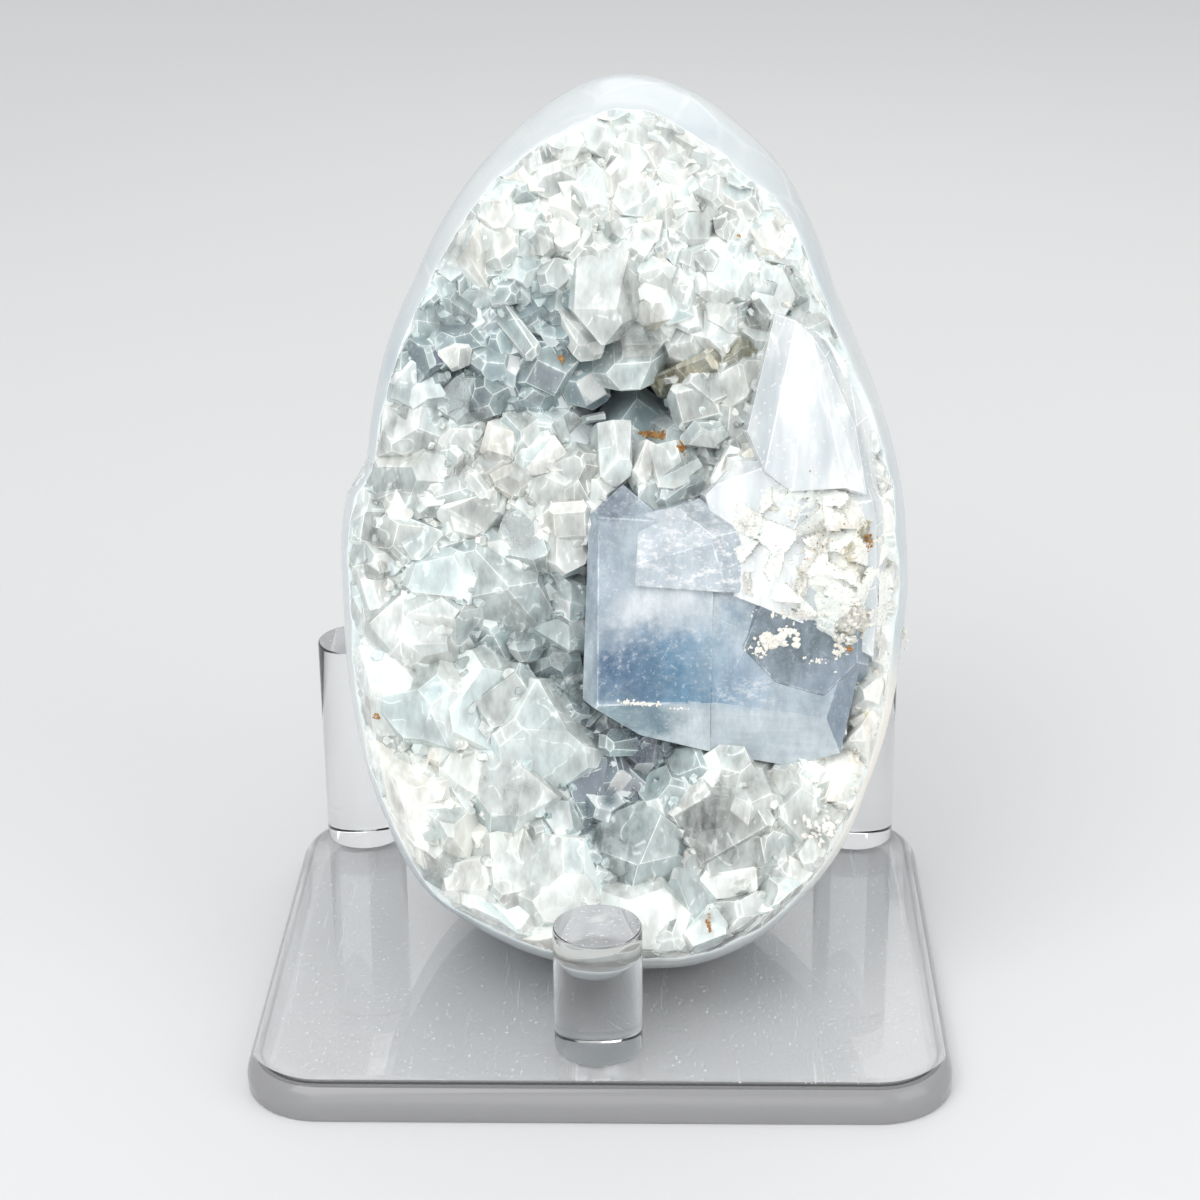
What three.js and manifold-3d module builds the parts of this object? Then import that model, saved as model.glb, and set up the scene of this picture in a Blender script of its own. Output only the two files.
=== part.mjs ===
// A celestite geode: a polished egg of stone with an open crystal pocket, leaning back on a clear
// acrylic stand of one plate, one short front peg and two tall rear pegs.
// Millimetres, +Z up. The origin is the middle of the plate's underside and the pocket faces -Y.
import * as THREE from 'three';
import { mergeVertices } from 'three/addons/utils/BufferGeometryUtils.js';
import Module from 'manifold-3d';

const wasm = await Module();
wasm.setup();

// Stand
const PLATE_WIDTH = 101.6;
const PLATE_DEPTH = 86.4;
const PLATE_THICKNESS = 5.5;
const PLATE_CORNER_RADIUS = 11.5;
const PLATE_EDGE_RADIUS = 3.6;
const PEG_DIAMETER = 12.7;
const PEG_CHAMFER = 0.4;
const PEG_SIDES = 40;
const FRONT_PEG_Y = -31.4;
const FRONT_PEG_HEIGHT = 19.4;
const REAR_PEG_X = 40.5;
const REAR_PEG_Y = 34.6;
const REAR_PEG_HEIGHT = 35;
const SEAT_GAP = 0.3;

// Egg: its place on the stand, its outline seen from the front and its depth
const EGG_PLACE = new THREE.Vector3(3.4, 14, 69);
const EGG_LEAN = THREE.MathUtils.degToRad(17);
const EGG_ROLL = THREE.MathUtils.degToRad(0.9);
const EGG_OUTLINE = [
  [0, 66.3], [10.2, 63.3], [16.2, 59], [22.2, 53.2], [27.6, 43.7], [31.5, 33.4], [37.8, 18.6],
  [42, 0.7], [42.6, -8.3], [41.7, -18.9], [37.6, -37.3], [33.3, -48.1], [27.4, -55.9], [21.4, -61.4],
  [12.4, -65.5], [3.2, -66.4], [-10.6, -65.2], [-21.3, -60.7], [-29, -55.4], [-36.7, -41.7],
  [-40.6, -27.9], [-42.2, -12.7], [-41.6, 4], [-38.6, 10.5], [-32.7, 34], [-28.2, 43.7],
  [-18.7, 56.4], [-7.6, 64.6],
];
const EGG_MIDDLE = new THREE.Vector2(0, -8);
const EGG_FRONT_DEPTH = 36;
const EGG_BACK_DEPTH = 48;
const EGG_BACK_SKEW = 0.27;
const EGG_CHIN_FULLNESS = 1;
const EGG_AROUND = 52;
const EGG_RINGS = 30;
const OUTLINE_SAMPLES = 720;

// Pocket: the level of its rim ahead of the outline, how it slopes, its bowl and the deep vug in it
const RIM_LEVEL = 18;
const RIM_SLOPE_ACROSS = 0.08;
const RIM_SLOPE_UP = -0.068;
const BOWL_DEPTH = 10;
const BOWL_REACH = 0.9;
const VUG = new THREE.Vector2(0.1, 19.8);
const VUG_DEPTH = 10;
const VUG_RADIUS = 8;
const VUG_CLEARING = 12;

// Rim notch on the left side of the shell
const NOTCH_SIZE = [5, 40, 2];
const NOTCH_PLACE = [-41.2, -4, 7];
const NOTCH_TURN = THREE.MathUtils.degToRad(-35);

// Druse: small crystals spread over the pocket on a sunflower spiral
const DRUSE_COUNT = 52;
const DRUSE_REACH = 0.76;
const DRUSE_RISE = 6;
const DRUSE_LENGTH = 11;
const DRUSE_WIDTHS = [8, 10, 12];
const DRUSE_INWARD = 0.4;
const GOLDEN_ANGLE = Math.PI * (3 - Math.sqrt(5));

// Crystal form: share of the length that tapers, how flat it is and how many sides it has
const CRYSTAL_SIDES = 6;
const CRYSTAL_TAPER = 0.42;
const CRYSTAL_TIP = 0.28;
const CRYSTAL_FLATNESS = 0.72;

// Single crystals that stand out: tip across, up and ahead of the rim's level, lean across and up of
// the way it points, width, length and turn about its own axis
const CRYSTALS = [
  { tip: [-4.2, 27.4, -2], lean: [-0.1, -0.9], width: 9, length: 20, turn: 20 },
  { tip: [3.4, 29.5, -3], lean: [0.1, -0.7], width: 7, length: 16, turn: 50 },
  { tip: [10, 18.7, -7], lean: [-0.4, -0.1], width: 9, length: 14, turn: 10 },
  { tip: [18.1, 34.5, -4], lean: [-0.3, -0.2], width: 9, length: 14, turn: 75 },
  { tip: [-24.9, 24.5, -1], lean: [0.3, -0.4], width: 9, length: 13, turn: 30 },
  { tip: [-20.5, 32, -2], lean: [0.3, -0.3], width: 8, length: 13, turn: 5 },
  { tip: [-30, 12.8, -1], lean: [0.4, 0], width: 9, length: 13, turn: 45 },
  { tip: [-8, 6, -3], lean: [0.2, 0.2], width: 16, length: 18, turn: 15 },
  { tip: [-29, -14, 0], lean: [0.3, 0.1], width: 16, length: 18, turn: 40 },
  { tip: [-27, -34, -1], lean: [0.3, 0.2], width: 14, length: 18, turn: 65 },
  { tip: [-18, -37, -2], lean: [0.3, 0.4], width: 11, length: 16, turn: 20 },
  { tip: [14.8, -44, -1], lean: [-0.1, 0.3], width: 15, length: 18, turn: 35 },
  { tip: [6.9, -53, -2], lean: [0, 0.3], width: 8, length: 12, turn: 0 },
  { tip: [-11, -54, -2], lean: [0.1, 0.3], width: 10, length: 12, turn: 50 },
];

// Two broad crystals: outline across and up, back and front levels, and the tilt of the front face
const BLUE_CRYSTAL = {
  outline: [
    [-0.3, 5.2], [-4.9, 0.8], [-4, -15], [-2, -26.9], [2.9, -30.3], [14.6, -32.9], [24.8, -34.7],
    [32.1, -32.8], [35, -16], [29, -7], [14, -1],
  ],
  back: 2,
  front: 19,
  bevel: 2,
};
const PALE_SLAB = {
  outline: [[21.7, 30.6], [18.2, 14.2], [22, 8], [32, 8.5], [33.5, 17], [28.5, 26.5]],
  back: 4,
  front: 18,
  bevel: 1.5,
};

// Joins and cuts

function toSolid(geometry) {
  const bare = geometry.clone();
  bare.deleteAttribute('normal');
  bare.deleteAttribute('uv');
  const merged = mergeVertices(bare);
  return new wasm.Manifold(new wasm.Mesh({
    numProp: 3,
    vertProperties: new Float32Array(merged.attributes.position.array),
    triVerts: new Uint32Array(merged.index.array),
  }));
}

function toGeometry(solid) {
  const { vertProperties, triVerts } = solid.getMesh();
  const geometry = new THREE.BufferGeometry();
  geometry.setAttribute('position', new THREE.BufferAttribute(vertProperties, 3));
  geometry.setIndex(new THREE.BufferAttribute(triVerts, 1));
  geometry.computeVertexNormals();
  return geometry;
}

// Stand

function plateGeometry() {
  const halfWidth = PLATE_WIDTH / 2 - PLATE_EDGE_RADIUS;
  const halfDepth = PLATE_DEPTH / 2 - PLATE_EDGE_RADIUS;
  const corner = PLATE_CORNER_RADIUS - PLATE_EDGE_RADIUS;
  const outline = new THREE.Shape();
  outline.moveTo(-halfWidth + corner, -halfDepth);
  outline.absarc(halfWidth - corner, -halfDepth + corner, corner, -Math.PI / 2, 0);
  outline.absarc(halfWidth - corner, halfDepth - corner, corner, 0, Math.PI / 2);
  outline.absarc(-halfWidth + corner, halfDepth - corner, corner, Math.PI / 2, Math.PI);
  outline.absarc(-halfWidth + corner, -halfDepth + corner, corner, Math.PI, Math.PI * 1.5);
  const slab = new THREE.ExtrudeGeometry(outline, {
    depth: PLATE_THICKNESS - PLATE_EDGE_RADIUS,
    bevelSize: PLATE_EDGE_RADIUS,
    bevelThickness: PLATE_EDGE_RADIUS,
    bevelSegments: 5,
    curveSegments: 8,
  });
  const below = new THREE.BoxGeometry(2 * PLATE_WIDTH, 2 * PLATE_DEPTH, PLATE_THICKNESS);
  below.translate(0, 0, -PLATE_THICKNESS / 2);
  return toGeometry(toSolid(slab).subtract(toSolid(below)));
}

function pegGeometry(height) {
  const radius = PEG_DIAMETER / 2;
  const profile = [
    new THREE.Vector2(0, 0),
    new THREE.Vector2(radius - PEG_CHAMFER, 0),
    new THREE.Vector2(radius, PEG_CHAMFER),
    new THREE.Vector2(radius, height - PEG_CHAMFER),
    new THREE.Vector2(radius - PEG_CHAMFER, height),
    new THREE.Vector2(0, height),
  ];
  const peg = new THREE.LatheGeometry(profile, PEG_SIDES);
  peg.rotateX(Math.PI / 2);
  return peg;
}

// Egg

const outlineRadii = (() => {
  const points = EGG_OUTLINE.map(([across, up]) => new THREE.Vector3(across, up, 0));
  const curve = new THREE.CatmullRomCurve3(points, true, 'centripetal');
  const samples = curve.getPoints(OUTLINE_SAMPLES).slice(1).map((point) => {
    const across = point.x - EGG_MIDDLE.x;
    const up = point.y - EGG_MIDDLE.y;
    return { angle: Math.atan2(up, across), radius: Math.hypot(across, up) };
  }).sort((first, second) => first.angle - second.angle);
  const first = samples[0];
  const last = samples[samples.length - 1];
  return [
    { angle: last.angle - 2 * Math.PI, radius: last.radius },
    ...samples,
    { angle: first.angle + 2 * Math.PI, radius: first.radius },
  ];
})();

function outlineRadius(angle) {
  const after = outlineRadii.findIndex((sample) => sample.angle >= angle);
  const low = outlineRadii[after - 1];
  const high = outlineRadii[after];
  return THREE.MathUtils.mapLinear(angle, low.angle, high.angle, low.radius, high.radius);
}

function rimLevel(across, up) {
  return RIM_LEVEL + RIM_SLOPE_ACROSS * across + RIM_SLOPE_UP * up;
}

function pocketFloor(across, up, reach) {
  const bowl = BOWL_DEPTH * Math.max(0, 1 - (reach / BOWL_REACH) ** 2);
  const fromVug = Math.hypot(across - VUG.x, up - VUG.y) / VUG_RADIUS;
  return rimLevel(across, up) - bowl - VUG_DEPTH * Math.exp(-(fromVug ** 2));
}

// A sphere with its poles at the back and front, drawn out to the outline. The front half is fuller
// towards the foot and is cut down to the pocket's floor.
function eggGeometry() {
  const egg = new THREE.SphereGeometry(1, EGG_AROUND, EGG_RINGS);
  const position = egg.attributes.position;
  for (let i = 0; i < position.count; i += 1) {
    const angle = Math.atan2(position.getZ(i), position.getX(i));
    const along = position.getY(i);
    const chin = along < 0 ? Math.max(0, -Math.sin(angle)) ** 2 : 0;
    const squareness = 2 / (2 + EGG_CHIN_FULLNESS * chin);
    const reach = Math.hypot(position.getX(i), position.getZ(i)) ** squareness;
    const radius = reach * outlineRadius(angle);
    const across = EGG_MIDDLE.x + radius * Math.cos(angle);
    const up = EGG_MIDDLE.y + radius * Math.sin(angle);
    const front = Math.min(EGG_FRONT_DEPTH * Math.abs(along) ** squareness, pocketFloor(across, up, reach));
    const back = along * (EGG_BACK_DEPTH - EGG_BACK_SKEW * across);
    position.setXYZ(i, across, along > 0 ? back : -front, up);
  }
  return egg;
}

// Crystals

function crystalGeometry({ tip, lean, width, length, turn }) {
  const radius = width / 2;
  const profile = [
    new THREE.Vector2(0, -length),
    new THREE.Vector2(radius, -length),
    new THREE.Vector2(radius, -length * CRYSTAL_TAPER),
    new THREE.Vector2(radius * CRYSTAL_TIP, 0),
    new THREE.Vector2(0, 0),
  ];
  const crystal = new THREE.LatheGeometry(profile, CRYSTAL_SIDES);
  crystal.scale(1, 1, CRYSTAL_FLATNESS);
  crystal.rotateY(THREE.MathUtils.degToRad(turn));
  const axis = new THREE.Vector3(lean[0], -1, lean[1]).normalize();
  const aim = new THREE.Quaternion().setFromUnitVectors(new THREE.Vector3(0, 1, 0), axis);
  crystal.applyQuaternion(aim);
  const forward = rimLevel(tip[0], tip[1]) + tip[2];
  crystal.translate(tip[0], -forward, tip[1]);
  return crystal;
}

function druse() {
  const crystals = Array.from({ length: DRUSE_COUNT }, (_, i) => {
    const reach = DRUSE_REACH * Math.sqrt((i + 0.5) / DRUSE_COUNT);
    const angle = ((i * GOLDEN_ANGLE + Math.PI) % (2 * Math.PI)) - Math.PI;
    const radius = reach * outlineRadius(angle);
    const across = EGG_MIDDLE.x + radius * Math.cos(angle);
    const up = EGG_MIDDLE.y + radius * Math.sin(angle);
    return {
      tip: [across, up, pocketFloor(across, up, reach) + DRUSE_RISE - rimLevel(across, up)],
      lean: [-DRUSE_INWARD * reach * Math.cos(angle), -DRUSE_INWARD * reach * Math.sin(angle)],
      width: DRUSE_WIDTHS[i % DRUSE_WIDTHS.length],
      length: DRUSE_LENGTH,
      turn: THREE.MathUtils.radToDeg(i * GOLDEN_ANGLE),
    };
  });
  return crystals.filter(({ tip }) => Math.hypot(tip[0] - VUG.x, tip[1] - VUG.y) > VUG_CLEARING);
}

function broadCrystalGeometry({ outline, back, front, bevel }) {
  const shape = new THREE.Shape(outline.map(([across, up]) => new THREE.Vector2(across, up)));
  const crystal = new THREE.ExtrudeGeometry(shape, {
    depth: front - back - 2 * bevel,
    bevelSize: bevel,
    bevelOffset: -bevel,
    bevelThickness: bevel,
    bevelSegments: 1,
  });
  crystal.translate(0, 0, back + bevel);
  crystal.rotateX(Math.PI / 2);
  return crystal;
}

function notchGeometry() {
  const notch = new THREE.BoxGeometry(...NOTCH_SIZE);
  notch.rotateY(NOTCH_TURN);
  notch.translate(...NOTCH_PLACE);
  return notch;
}

// Everything below the level at which the egg's foot rests, in the egg's own frame
function belowFootGeometry(eggMatrix) {
  const below = new THREE.BoxGeometry(PLATE_WIDTH, PLATE_DEPTH, PLATE_THICKNESS);
  below.translate(0, 0, PLATE_THICKNESS / 2 + SEAT_GAP);
  below.applyMatrix4(eggMatrix.clone().invert());
  return below;
}

function geodeGeometry(eggMatrix) {
  const crystals = [...CRYSTALS, ...druse()].map(crystalGeometry);
  crystals.push(broadCrystalGeometry(BLUE_CRYSTAL), broadCrystalGeometry(PALE_SLAB));
  const grown = crystals.reduce((sum, crystal) => sum.add(toSolid(crystal)), toSolid(eggGeometry()));
  return toGeometry(grown.subtract(toSolid(notchGeometry())).subtract(toSolid(belowFootGeometry(eggMatrix))));
}

// Assembly

function addPiece(group, name, geometry, finish, place) {
  const piece = new THREE.Mesh(geometry, new THREE.MeshStandardMaterial({ ...finish, metalness: 0 }));
  piece.name = name;
  piece.position.set(...place);
  group.add(piece);
}

const geodeOnStand = new THREE.Group();
const acrylic = { color: 0xe9edf2, roughness: 0.05, transparent: true, opacity: 0.35 };
const celestite = { color: 0xd3e0e6, roughness: 0.2 };
const pegFoot = PLATE_THICKNESS + SEAT_GAP;

addPiece(geodeOnStand, 'stand_plate', plateGeometry(), acrylic, [0, 0, 0]);
const rearPeg = pegGeometry(REAR_PEG_HEIGHT);
addPiece(geodeOnStand, 'peg_front', pegGeometry(FRONT_PEG_HEIGHT), acrylic, [0, FRONT_PEG_Y, pegFoot]);
addPiece(geodeOnStand, 'peg_rear_left', rearPeg, acrylic, [-REAR_PEG_X, REAR_PEG_Y, pegFoot]);
addPiece(geodeOnStand, 'peg_rear_right', rearPeg, acrylic, [REAR_PEG_X, REAR_PEG_Y, pegFoot]);

const egg = new THREE.Group();
egg.position.copy(EGG_PLACE);
egg.rotation.set(-EGG_LEAN, EGG_ROLL, 0);
egg.updateMatrix();
addPiece(egg, 'geode', geodeGeometry(egg.matrix), celestite, [0, 0, 0]);
geodeOnStand.add(egg);

export default geodeOnStand;
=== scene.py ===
"""Celestite geode: a polished egg of stone with an open pocket of pale blue crystals, on a clear stand.

Everything about the egg is worked out in its own millimetres, across, up and ahead of its middle plane,
and is then set into the row's frame in metres.
"""

import bisect
import functools
import math
import random
from typing import NamedTuple

import bmesh
import bpy
from bpy.props import FloatProperty, FloatVectorProperty, IntProperty, PointerProperty
from bpy.types import Operator, Panel, PropertyGroup
from mathutils import Matrix, Vector, noise
from mathutils.bvhtree import BVHTree
from mathutils.kdtree import KDTree


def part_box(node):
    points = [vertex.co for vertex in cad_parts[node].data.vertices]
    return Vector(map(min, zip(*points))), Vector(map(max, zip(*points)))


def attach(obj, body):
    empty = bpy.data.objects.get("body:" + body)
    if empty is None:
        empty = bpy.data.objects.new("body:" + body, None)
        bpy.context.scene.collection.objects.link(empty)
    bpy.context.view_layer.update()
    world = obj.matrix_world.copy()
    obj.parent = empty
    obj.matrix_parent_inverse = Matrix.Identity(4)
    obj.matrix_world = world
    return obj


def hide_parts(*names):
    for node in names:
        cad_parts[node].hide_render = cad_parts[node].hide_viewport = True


bl_info = {
    "name": "Celestite geode",
    "version": (1, 0, 0),
    "blender": (4, 5, 0),
    "location": "3D View > Sidebar > Geode",
    "description": "Builds a polished celestite egg with its crystal pocket, on a clear stand",
    "category": "Add Mesh",
}

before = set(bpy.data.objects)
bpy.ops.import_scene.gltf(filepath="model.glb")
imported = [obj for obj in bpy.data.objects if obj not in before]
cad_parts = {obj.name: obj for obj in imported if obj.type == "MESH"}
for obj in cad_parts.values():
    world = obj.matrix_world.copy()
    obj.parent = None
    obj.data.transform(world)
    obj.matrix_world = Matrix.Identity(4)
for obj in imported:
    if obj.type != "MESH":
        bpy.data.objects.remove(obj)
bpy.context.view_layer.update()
PLATE_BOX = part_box("stand_plate")
PEG_NODES = ("peg_front", "peg_rear_left", "peg_rear_right")
PEG_SEGMENTS = 96

MM = 0.001
FULL_TURN = 2 * math.pi
FLOOR_GAP = 0.05 * MM
FLOOR_HALF = 3
LIGHT_AIM = Vector((0, 0, 0.07))
PICTURE_WIDTH = 36
SKY_TONES = ((0, (0.87, 0.875, 0.88)), (1, (1.14, 1.15, 1.155)))
CLEAR_BOUNCES = 10
PLAIN_BOUNCES = 2
FLAT_BORDER = 0.15 * MM

# Egg, in its own millimetres

EGG_OUTLINE = (
    (0, 66.3), (10.2, 63.3), (16.2, 59), (22.2, 53.2), (27.6, 43.7), (31.5, 33.4), (37.8, 18.6),
    (42, 0.7), (42.6, -8.3), (41.7, -18.9), (37.6, -37.3), (33.3, -48.1), (27.4, -55.9), (21.4, -61.4),
    (12.4, -65.5), (3.2, -66.4), (-10.6, -65.2), (-21.3, -60.7), (-29, -55.4), (-36.7, -41.7),
    (-40.6, -27.9), (-42.2, -12.7), (-41.6, 4), (-38.6, 10.5), (-32.7, 34), (-28.2, 43.7),
    (-18.7, 56.4), (-7.6, 64.6),
)
EGG_MIDDLE_UP = -8
EGG_BACK_SKEW = 0.27
RIM_SLOPE_UP = -0.045
FACE_SLOPE_UP = -0.068
RIM_CURVE = 0.0042
FACE_SLOPE_ACROSS = 0.08
RIM_WANDERS = ((5, 1.1), (13, 0.77), (29, 0.44))
RIM_STEPS = 720
RIM_HALVINGS = 24
BED = 1.6
VUG = Vector((0.1, 19.8))
VUG_MOUTH = Vector((1, 18.6))
VUG_CLEARING = 9.4
EGG_AROUND = 224
EGG_RINGS = 112
RIM_RING = 64
POCKET_LUMPS = ((0.16, 1.3), (0.5, 0.45))
POCKET_MARK = 0.001
PROBE = 2
PROBES = ((PROBE, 0), (-PROBE, 0), (0, PROBE), (0, -PROBE))
CHALKY_LIP = Vector((37, -20, -34))
CHALKY_REACH = 26 * MM
PROUD = -0.12
DROP_LEVEL = 60
NOTCH = Vector((-41.4, 7.6))
NOTCH_REACH = 2.4
NOTCH_DEPTH = 2.6

# Druse: where the pocket's crystals are small or large, clear or milky, white or blue


class Zone(NamedTuple):
    """A part of the pocket, how deep it lies under the rim and how the crystals grow there."""

    across: float
    up: float
    spread: float
    depth: float
    size: float
    tint: float
    milk: float


ZONES = (
    Zone(0, 56, 14, 3, 3.6, 0.3, 0.95),
    Zone(-16, 42, 12, 4, 4.0, 0.305, 0.9),
    Zone(14, 46, 12, 4, 3.8, 0.34, 0.85),
    Zone(-22, 26, 10, 5, 5.0, 0.66, 0.6),
    Zone(-12, 26, 8, 7, 4.2, 0.85, 0.6),
    Zone(13, 24, 7, 6, 4.8, 0.35, 0.65),
    Zone(-32, 8, 9, 3, 5.8, 0.35, 0.7),
    Zone(-20, 4, 9, 5, 6.4, 0.31, 0.68),
    Zone(-8, 6, 7, 5, 6.4, 0.29, 0.75),
    Zone(-32, -15, 9, 2, 8.6, 0.39, 0.8),
    Zone(-15, -16, 7, 9, 4.6, 0.6, 0.45),
    Zone(-26, -40, 12, 2.5, 9, 0.315, 0.9),
    Zone(-2, -39, 8, 8, 5.4, 0.85, 0.5),
    Zone(-8, -56, 10, 2.5, 6.2, 0.3, 0.88),
    Zone(16, -46, 9, 4.5, 6.8, 0.32, 0.6),
    Zone(30, -2, 9, 3, 3.0, 0.23, 1),
    Zone(4, 9, 5, 6, 3.8, 0.42, 0.5),
    Zone(32, -40, 7, 2, 4.6, 0.25, 0.95),
)

# Crystals that stand out


class Crystal(NamedTuple):
    """One crystal: its tip across, up and ahead of the rim's level, the way it points, its size and look.

    A blunt of 0 is a sharp tip and of 1 a flat end."""

    tip: tuple
    way: tuple
    size: tuple
    turn: float
    blunt: float
    tint: float
    milk: float


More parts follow.
